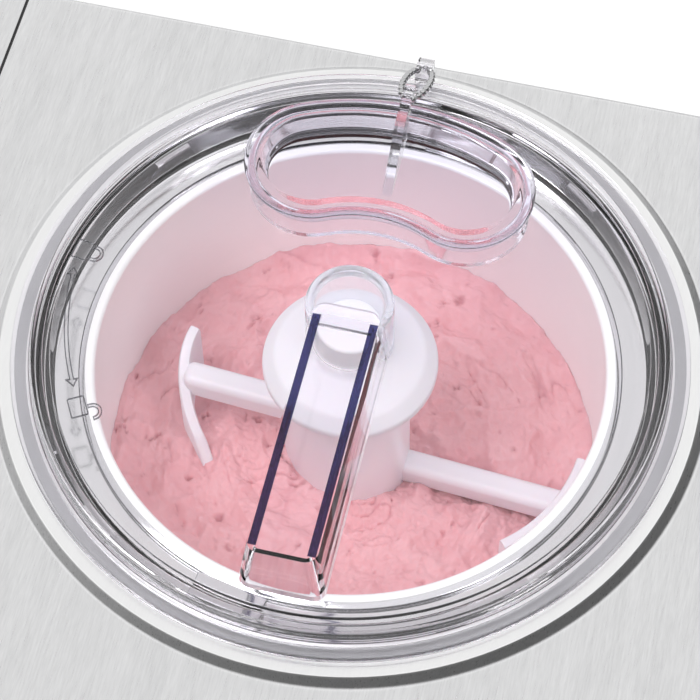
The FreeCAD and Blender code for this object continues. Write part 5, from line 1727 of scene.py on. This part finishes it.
@dataclass
class SteelTop:
    """Pressed steel top plate with its raised ring, the console plate, and the recess round the bowl."""

    half_width: float = 215.0
    half_depth: float = 150.0
    corner: float = 14.0
    bend: float = 3.0
    skirt: float = 18.0
    sheet: float = 1.2
    sharp: float = 30.0
    seam_x: float = -94.0
    seam_half: float = 0.6
    # Strip of painted shade below the seam between the plates
    seam_shade_half: float = 3.0
    seam_shade_gap: float = 0.2
    seam_shade_height: float = 1.5
    foot: float = 129.8
    slope_foot: float = 127.6
    crest_outer: float = 124.2
    crest_inner: float = 112.3
    lip_depth: float = 6.0
    recess: float = 111.2
    recess_top: float = -4.4
    well: float = 93.4
    wall: float = 1.0
    seat_z: float = -13.0
    flange_radius: float = 120.0
    flange_low: float = -10.2
    well_floor: float = -125.0
    well_bore: float = 14.0
    cup_flange: float = 4.0
    cup_air: float = 0.1

    def outline(self, inset: float, right: bool) -> List[Flat]:
        """Open outline from the seam round one end of the case and back to the seam, in metres.

        Args:
            inset: Distance in from the case's outer faces.
            right: True for the bowl's end, False for the console's end.

        Returns:
            Points from the front seam end to the back seam end.
        """
        side = 1.0 if right else -1.0
        seam = self.seam_x + side * self.seam_half
        x = side * (self.half_width - inset)
        y = self.half_depth - inset
        corner = self.corner - inset
        return fillet_path([(seam, -y, 0), (x, -y, corner), (x, y, corner), (seam, y, 0)])

    def folded(self, bm: BMesh, right: bool) -> Loop:
        """Bend and skirt of one plate.

        Args:
            bm: Mesh to add to.
            right: True for the bowl's end, False for the console's end.

        Returns:
            The edge of the plate's flat top.
        """
        loops = []
        for i in range(CORNER_STEPS + 1):
            turn = math.pi / 2 * i / CORNER_STEPS
            inset = self.bend * (1 - math.sin(turn))
            drop = self.bend * (1 - math.cos(turn)) * MM
            loops.append([Vector((x, y, PANEL_Z - drop)) for x, y in self.outline(inset, right)])
        loops.append([Vector((x, y, PANEL_Z - self.skirt * MM)) for x, y in self.outline(0.0, right)])
        add_loops(bm, loops, closed=False)
        return loops[0]

    def thicken(self, piece: Object) -> None:
        """Gives a pressed skin its sheet thickness, inwards.

        Args:
            piece: The skin.
        """
        if piece.data.polygons[0].normal.z < -0.9:
            piece.data.flip_normals()
        wall = piece.modifiers.new("sheet", "SOLIDIFY")
        wall.thickness = self.sheet * MM
        wall.offset = -1.0
        settle(piece)
        sharpen(piece, self.sharp)

    def build_top(self) -> Object:
        """Top plate: flat, raised ring and folded skirt.

        Returns:
            The plate.
        """
        bm = bmesh.new()
        edge = self.folded(bm, True)
        crest = (CREST_Z - PANEL_Z) / MM
        add_turned(bm, fillet_path([
            (self.foot, 0.0, 0), (self.slope_foot, 0.0, 4.6), (self.crest_outer, crest, 1.0),
            (self.crest_inner, crest, 1.0), (self.crest_inner, crest - self.lip_depth, 0)]), PANEL_Z)
        add_fill(bm, [edge, ring(self.foot * MM, PANEL_Z)])
        made = finish_mesh("top_plate_pressing", bm, self.sharp)
        self.thicken(made)
        return made

    def build_console(self) -> Object:
        """Console plate: flat and folded skirt.

        Returns:
            The plate.
        """
        bm = bmesh.new()
        edge = self.folded(bm, False)
        add_fill(bm, [edge])
        made = finish_mesh("console_plate_pressing", bm, self.sharp)
        self.thicken(made)
        return made

    def build_recess(self) -> Object:
        """Turned recess that carries the bowl's lip, with a flange under the top plate.

        Returns:
            The recess.
        """
        outer = self.recess + self.wall
        under = self.seat_z - self.wall
        flange_top = self.flange_low + self.wall
        return turned_piece("bowl_recess", [
            (self.recess, self.recess_top, 0.3), (self.recess, self.seat_z, 1.5),
            (self.well, self.seat_z, 0.4), (self.well, under, 0.4), (outer, under, 2.0),
            (outer, self.flange_low, 0),
            (self.flange_radius, self.flange_low, 0), (self.flange_radius, flange_top, 0),
            (outer, flange_top, 0), (outer, self.recess_top, 0.3)], 50.0)

    def build_cup(self) -> Object:
        """Turned cup that takes the bowl, with a narrow flange under the recess.

        Returns:
            The cup.
        """
        top = self.seat_z - self.wall - self.cup_air
        outer = self.well + self.wall
        rim = self.well + self.cup_flange
        bottom = self.well_floor - self.wall
        return turned_piece("bowl_cup", [
            (self.well, top, 0.4), (self.well, self.well_floor, 3.0), (self.well_bore, self.well_floor, 0),
            (self.well_bore, bottom, 0), (outer, bottom, 3.5), (outer, top - self.wall, 0.3),
            (rim, top - self.wall, 0.3), (rim, top, 0.3)], 50.0)

    def build_seam_shade(self) -> Object:
        """Dark strip below the seam: painted shade that darkens the gap between the two plates.

        Returns:
            The strip.
        """
        bm = bmesh.new()
        reach = self.half_depth - self.bend
        top = PANEL_Z - (self.sheet + self.seam_shade_gap) * MM
        ends = [Vector(((self.seam_x + side * self.seam_shade_half) * MM, side * reach * MM, z))
                for side, z in ((-1, top - self.seam_shade_height * MM), (1, top))]
        add_block(bm, *ends)
        return finish_mesh("seam_backing", bm, rounding=0.4)

    def dress(self) -> None:
        """Builds the plates and the well and seats them."""
        # The black strip below the seam is painted shade for the gap.
        seat(self.build_seam_shade(), "housing", Finishes.black_gloss)
        seat(self.build_top(), "housing", Finishes.top_steel, ["top_plate"])
        seat(self.build_console(), "housing", Finishes.top_steel, ["console_plate"])
        seat(self.build_recess(), "housing", Finishes.recess_steel, ["recess_ring"])
        seat(self.build_cup(), "housing", Finishes.spun_steel, ["well_cup"])


@dataclass
class CaseScrews:
    """Domed cross-head screws of the rear panel and of the feet."""

    head_radius: float = 3.4
    head_height: float = 2.0
    head_steps: int = 48
    shank_radius: float = 1.5
    slot_half: float = 2.1
    slot_width: float = 0.9
    slot_depth: float = 1.1
    panel_x: float = 193.0
    panel_low: float = 21.2
    panel_high: float = 202.8
    panel_shank: float = 5.0
    rear_y: float = 147.5
    foot_x: float = 183.0
    foot_y: float = 118.0
    foot_z: float = 6.0
    foot_shank: float = 7.5

    def head(self, shank: float) -> Object:
        """One screw about the origin, its head above the plane and its shank below.

        Args:
            shank: Length of the shank.

        Returns:
            The screw.
        """
        bm = bmesh.new()
        radius = self.head_radius
        top = self.head_height
        add_turned(bm, fillet_path([
            (0.0, -shank, 0), (self.shank_radius, -shank, 0.3), (self.shank_radius, 0.0, 0),
            (radius, 0.0, 0.2), (radius, top * 0.55, 0.7), (radius * 0.6, top, 1.4), (0.0, top, 0)]),
            centre=Vector(), steps=self.head_steps)
        made = finish_mesh("screw", bm)
        low, high = (top - self.slot_depth) * MM, (top + 1.0) * MM
        wide, thin = self.slot_half * MM, self.slot_width / 2 * MM
        for x, y in ((wide, thin), (thin, wide)):
            cross = bmesh.new()
            add_block(cross, Vector((-x, -y, low)), Vector((x, y, high)))
            carve(made, finish_mesh("slot", cross), Carving.CUT)
        return made

    def dress(self) -> None:
        """Places the screws and seats them on the housing."""
        rear = [Vector((x * MM, self.rear_y * MM, z * MM)) for x in (-self.panel_x, 0.0, self.panel_x)
                for z in (self.panel_low, self.panel_high)]
        made = place_items("case_screw_set", self.head(self.panel_shank), rear, Finishes.bright_metal,
                           (-math.pi / 2, 0.0, 0.0), 0.3, 0.8)
        seat(made, "housing", Finishes.bright_metal, ["case_screws"])
        feet = [Vector((x * MM, y * MM, self.foot_z * MM)) for x in (-self.foot_x, self.foot_x)
                for y in (-self.foot_y, self.foot_y)]
        made = place_items("foot_screw_set", self.head(self.foot_shank), feet, Finishes.bright_metal,
                           (math.pi, 0.0, 0.0), 0.5, 0.6)
        seat(made, "housing", Finishes.bright_metal, ["foot_screws"])


@dataclass
class ConsoleMarks:
    """Printed signs on the fascia, lit digits on the display and the line on the knob."""

    middle_x: float = -154.5
    knob_y: float = -102.0
    button_gap: float = 20.0
    display_y: float = -28.0
    fascia_z: float = 232.0
    knob_top: float = 249.6
    film: float = 0.1
    air: float = 0.02
    tick_radius: float = 25.5
    tick_half: float = 1.6
    tick_half_width: float = 0.35
    tick_count: int = 11
    first_tick: float = 240.0
    sweep: float = 300.0
    pointer_start: float = 8.0
    pointer_end: float = 17.0
    pointer_width: float = 1.4
    sign_y: float = -46.5
    sign_half: float = 2.6
    flake_reach: float = 3.2
    digit_height: float = 11.0
    digit_width: float = 6.0
    digit_shifts: Tuple[float, ...] = (-18.0, -7.0, 7.0, 18.0)
    shown_time: str = "2000"
    colon_half: float = 2.4
    stroke: float = 1.3

    def level(self, surface: float) -> float:
        """Height of a film's middle above a surface, in metres."""
        return (surface + self.film / 2 + self.air) * MM

    def plane(self, x: float, y: float, surface: float) -> Place:
        """Local plane on a surface about a point in millimetres.

        Args:
            x: Place of the point.
            y: Place of the point.
            surface: Height of the surface.

        Returns:
            Function that places local points.
        """
        origin = Vector((x * MM, y * MM, self.level(surface)))

        def place(u: float, v: float, offset: float) -> Vector:
            """Point for local coordinates."""
            return origin + Vector((u, v, offset))
        return place

    def sheet(self, bm: BMesh, corners: Sequence[Flat], place: Place) -> None:
        """Flat film with corners given in millimetres."""
        add_plate(bm, in_metres(corners), [], self.film * MM, place)

    def bar(self, bm: BMesh, start: Vector, end: Vector, width: float, place: Place) -> None:
        """Flat stroke between two points.

        Args:
            bm: Mesh to add to.
            start: First end in millimetres.
            end: Other end.
            width: Width of the stroke.
            place: Local plane that it lies in.
        """
        along = (end - start).normalized() * (width / 2)
        across = Vector((-along.y, along.x))
        tip = along * 0.9
        self.sheet(bm, [start - across, start - tip, start + across, end + across, end + tip, end - across],
                   place)

    def ticks(self) -> Object:
        """Ring of ticks round the knob.

        Returns:
            The ticks as one piece.
        """
        bm = bmesh.new()
        corner = Vector((self.tick_half, self.tick_half_width, self.film / 2)) * MM
        add_block(bm, -corner, corner)
        step = -math.radians(self.sweep) / (self.tick_count - 1)
        first = math.radians(self.first_tick)
        spots = [Vector(((self.middle_x + self.tick_radius * math.cos(first + step * i)) * MM,
                         (self.knob_y + self.tick_radius * math.sin(first + step * i)) * MM,
                         self.level(self.fascia_z))) for i in range(self.tick_count)]
        return place_items("knob_scale", finish_mesh("tick", bm), spots, Finishes.white_print,
                           first=first, step=step)

    def signs(self) -> Object:
        """Start triangle and cooling flake behind the two buttons.

        Returns:
            Both signs as one piece.
        """
        bm = bmesh.new()
        size = self.sign_half
        place = self.plane(self.middle_x - self.button_gap, self.sign_y, self.fascia_z)
        self.sheet(bm, [(-size * 0.7, -size), (size, 0.0), (-size * 0.7, size)], place)
        place = self.plane(self.middle_x + self.button_gap, self.sign_y, self.fascia_z)
        for i in range(6):
            turn = math.pi / 6 + math.pi / 3 * i
            way = Vector((math.cos(turn), math.sin(turn)))
            fork = way * 1.9
            self.bar(bm, way * 0.3, way * self.flake_reach, 0.5, place)
            for side in (-0.9, 0.9):
                twig = Vector((math.cos(turn + side), math.sin(turn + side)))
                self.bar(bm, fork, fork + twig * 1.1, 0.4, place)
        return finish_mesh("button_signs", bm)

    def digits(self) -> Object:
        """Remaining time as four lit seven-stroke digits and a colon.

        Returns:
            Digits and colon as one piece.
        """
        bm = bmesh.new()
        wide, tall = self.digit_width / 2, self.digit_height / 2
        strokes = {"top": ((-wide, tall), (wide, tall)), "middle": ((-wide, 0.0), (wide, 0.0)),
                   "foot": ((-wide, -tall), (wide, -tall)), "left_high": ((-wide, 0.0), (-wide, tall)),
                   "left_low": ((-wide, -tall), (-wide, 0.0)), "right_high": ((wide, 0.0), (wide, tall)),
                   "right_low": ((wide, -tall), (wide, 0.0))}
        lit = {"2": ("top", "right_high", "middle", "left_low", "foot"),
               "0": ("top", "right_high", "right_low", "foot", "left_low", "left_high")}
        for shift, digit in zip(self.digit_shifts, self.shown_time):
            place = self.plane(self.middle_x + shift, self.display_y, self.fascia_z)
            for label in lit[digit]:
                first, last = [Vector(end) for end in strokes[label]]
                trim = (last - first).normalized() * (self.stroke * 0.62)
                self.bar(bm, first + trim, last - trim, self.stroke, place)
        dot = self.stroke / 2
        for height in (-self.colon_half, self.colon_half):
            place = self.plane(self.middle_x, self.display_y + height, self.fascia_z)
            self.sheet(bm, [(-dot, -dot), (dot, -dot), (dot, dot), (-dot, dot)], place)
        return finish_mesh("display_digits", bm)

    def pointer(self) -> Object:
        """Line on the knob that points at the first tick.

        Returns:
            The line.
        """
        bm = bmesh.new()
        turn = math.radians(self.first_tick)
        way = Vector((math.cos(turn), math.sin(turn)))
        place = self.plane(self.middle_x, self.knob_y, self.knob_top)
        self.bar(bm, way * self.pointer_start, way * self.pointer_end, self.pointer_width, place)
        return finish_mesh("knob_pointer", bm)

    def dress(self) -> None:
        """Builds the marks and seats them."""
        seat(self.ticks(), "housing", Finishes.white_print)
        seat(self.signs(), "housing", Finishes.white_print)
        seat(self.digits(), "housing", Finishes.lit_digit)
        seat(self.pointer(), "knob", Finishes.black_moulding)


@dataclass
class CarriedNodes:
    """Solid nodes that stay as they are and get their finish and soft edges here."""

    finishes: Sequence[Tuple[Finish, str]] = (
        (Finishes.zinc, "base_tray rear_panel drive_motor"),
        (Finishes.rubber, "rubber_feet compressor_grommets shaft_seal"),
        (Finishes.wall_steel, "outer_shell"),
        (Finishes.spun_steel, "lid_keepers"),
        (Finishes.fin_metal, "evaporator_jacket condenser"),
        (Finishes.foam, "well_insulation"),
        (Finishes.black_enamel, "compressor"),
        (Finishes.black_moulding, "terminal_cover fan_frame fan_rotor control_fascia timer_encoder"),
        (Finishes.black_moulding, "button_switches power_inlet power_switch"),
        (Finishes.copper, "filter_drier discharge_line liquid_line capillary_line suction_line"),
        (Finishes.gear_moulding, "gearbox_tray gearbox_cover idler_gear"),
        (Finishes.bronze, "lower_bush upper_bush motor_pinion"),
        (Finishes.gear_steel, "drive_shaft output_gear idler_axle motor_shaft"),
        (Finishes.black_gloss, "display_lens power_rocker"),
        (Finishes.green_lamp, "indicator_lenses"),
        (Finishes.silver_moulding, "timer_knob start_button cool_button"),
        (Finishes.board, "control_board"),
        (Finishes.white_moulding, "board_standoffs"),
        (Finishes.bright_metal, "inlet_pins"),
        (Finishes.silicone, "lid_seal"),
    )

    # Width of the rounding in millimetres
    soft: Sequence[Tuple[float, str]] = (
        (0.2, "control_board"),
        (0.25, "outer_shell inlet_pins indicator_lenses"),
        (0.3, "base_tray start_button cool_button lid_keepers lid_seal"),
        (0.35, "timer_knob power_inlet power_switch"),
        (0.45, "power_rocker"),
        (0.5, "control_fascia fan_frame terminal_cover gearbox_tray gearbox_cover drive_motor"),
        (0.6, "compressor"),
        (0.9, "rubber_feet"),
    )

    def soften(self, node: Object, width: float) -> None:
        """Merges a node's loose triangles and rounds its edges, by modifiers only.

        Args:
            node: The node.
            width: Width of the rounding in millimetres.
        """
        weld = node.modifiers.new("merged", "WELD")
        weld.merge_threshold = 0.002 * MM
        round_edges(node, width, 2, 35.0)

    def dress(self) -> None:
        """Gives every carried node its finish, and some of them soft edges."""
        for finish, names in self.finishes:
            for name in names.split():
                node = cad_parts[name]
                node.data.materials.clear()
                node.data.materials.append(finish.material())
                LOG.info("node %s", name)
        for width, names in self.soft:
            for name in names.split():
                self.soften(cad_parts[name], width)


@dataclass
class Studio:
    """Pale floor, soft light and the camera at the photograph's angle."""

    lens: float = 126.62
    sensor: float = 36.0
    distance: float = 868.01 * MM
    azimuth: float = math.radians(13.896)
    elevation: float = math.radians(59.432)
    roll: float = math.radians(-0.66)
    aim_right: float = 0.296
    aim_back: float = -1.452
    floor_reach: float = 6.0
    lean_back: float = 0.40
    lean_left: float = 0.35
    low_level: float = 0.14
    high_level: float = 0.9
    levels: Sequence[Flat] = ((0.58, 0.10), (0.68, 0.16), (0.78, 0.75), (0.86, 1.1), (0.94, 1.1))

    def camera(self) -> None:
        """Camera that looks down at the lid from the front right."""
        target = lid_point(self.aim_right, self.aim_back, 0.0)
        a, e = self.azimuth, self.elevation
        forward = Vector((-math.sin(a) * math.cos(e), math.cos(a) * math.cos(e), -math.sin(e)))
        level = Vector((math.cos(a), math.sin(a), 0.0))
        upright = level.cross(forward)
        right = level * math.cos(self.roll) + upright * math.sin(self.roll)
        up = upright * math.cos(self.roll) - level * math.sin(self.roll)
        data = bpy.data.cameras.new("photo_camera")
        data.lens = self.lens
        data.sensor_width = self.sensor
        data.clip_start = 0.05
        data.clip_end = 50.0
        made = link_object("photo_camera", data)
        turn = Matrix((right, up, -forward)).transposed().to_4x4()
        made.matrix_world = Matrix.Translation(target - forward * self.distance) @ turn
        bpy.context.scene.camera = made

    def floor(self) -> None:
        """Pale floor under the feet."""
        bm = bmesh.new()
        reach = self.floor_reach
        corners = ((-reach, -reach), (reach, -reach), (reach, reach), (-reach, reach))
        bm.faces.new([bm.verts.new((x, y, 0.0)) for x, y in corners])
        made = finish_mesh("studio_floor", bm)
        pale = SolidFinish("studio_pale", colour=even(0.97), shade=even(0.95), rough_low=0.6, rough_high=0.7,
                           patch_scale=2.0)
        made.data.materials.append(pale.material())

    def lamp(self, name: str, spot: Vector, aim: Vector, size: Flat, power: float) -> None:
        """Soft rectangular lamp that metal and clear plastic don't mirror.

        Args:
            name: Name of the lamp.
            spot: Its place.
            aim: Point that it faces.
            size: Its width and height.
            power: Its power in watts.
        """
        data = bpy.data.lights.new(name, "AREA")
        data.shape = "RECTANGLE"
        data.size, data.size_y = size
        data.energy = power
        made = link_object(name, data)
        turn = (aim - spot).to_track_quat("-Z", "Y").to_matrix().to_4x4()
        made.matrix_world = Matrix.Translation(spot) @ turn
        made.visible_glossy = False

    def world(self) -> None:
        """Surroundings: bright overhead, behind and to the left, dark low in front, white to the camera."""
        made = bpy.data.worlds.new("studio_world")
        made.use_nodes = True
        graph = Graph(made.node_tree)
        coords = graph.add("ShaderNodeTexCoord").outputs["Generated"]
        parts = graph.add("ShaderNodeSeparateXYZ", {0: coords}).outputs
        back = graph.math("MULTIPLY", parts["Y"], self.lean_back)
        left = graph.math("MULTIPLY_ADD", parts["X"], -self.lean_left, back)
        total = graph.math("ADD", parts["Z"], left)
        height = graph.add("ShaderNodeMapRange", {"Value": total, "From Min": -1.0})
        ramp = graph.add("ShaderNodeValToRGB", {"Fac": height.outputs["Result"]})
        stops = ramp.color_ramp.elements
        stops[0].position, stops[1].position = 0.0, 1.0
        for spot, level in self.levels:
            stops.new(spot).color = (*even(level), 1.0)
        stops[0].color = (*even(self.low_level), 1.0)
        stops[-1].color = (*even(self.high_level), 1.0)
        seen = graph.add("ShaderNodeLightPath").outputs["Is Camera Ray"]
        colour = graph.mix(seen, ramp.outputs["Color"], even(1.0))
        graph.set(made.node_tree.nodes["Background"], {"Color": colour})
        bpy.context.scene.world = made

    def build(self) -> None:
        """Sets up the whole studio."""
        self.camera()
        self.floor()
        self.world()
        aim = BOWL_AXIS + Vector((0, 0, PANEL_Z))
        self.lamp("key_lamp", Vector((-0.5, -0.5, 1.85)), aim, (0.9, 0.9), 14.0)
        self.lamp("side_lamp", Vector((1.2, -0.6, 1.4)), aim, (0.5, 0.9), 9.0)
        bpy.context.scene.view_settings.view_transform = "Standard"


def main() -> None:
    """Builds every sub-assembly, then the studio."""
    logging.basicConfig(level=logging.INFO, format="%(message)s")
    CarriedNodes().dress()
    SteelTop().dress()
    FreezerBowl().dress()
    MixingPaddle().dress()
    IceCream().dress()
    ClearLid().dress()
    LidSigns().dress()
    FillingCap().dress()
    TetherChain().dress()
    CaseScrews().dress()
    ConsoleMarks().dress()
    Studio().build()


if __name__ == "__main__":
    main()
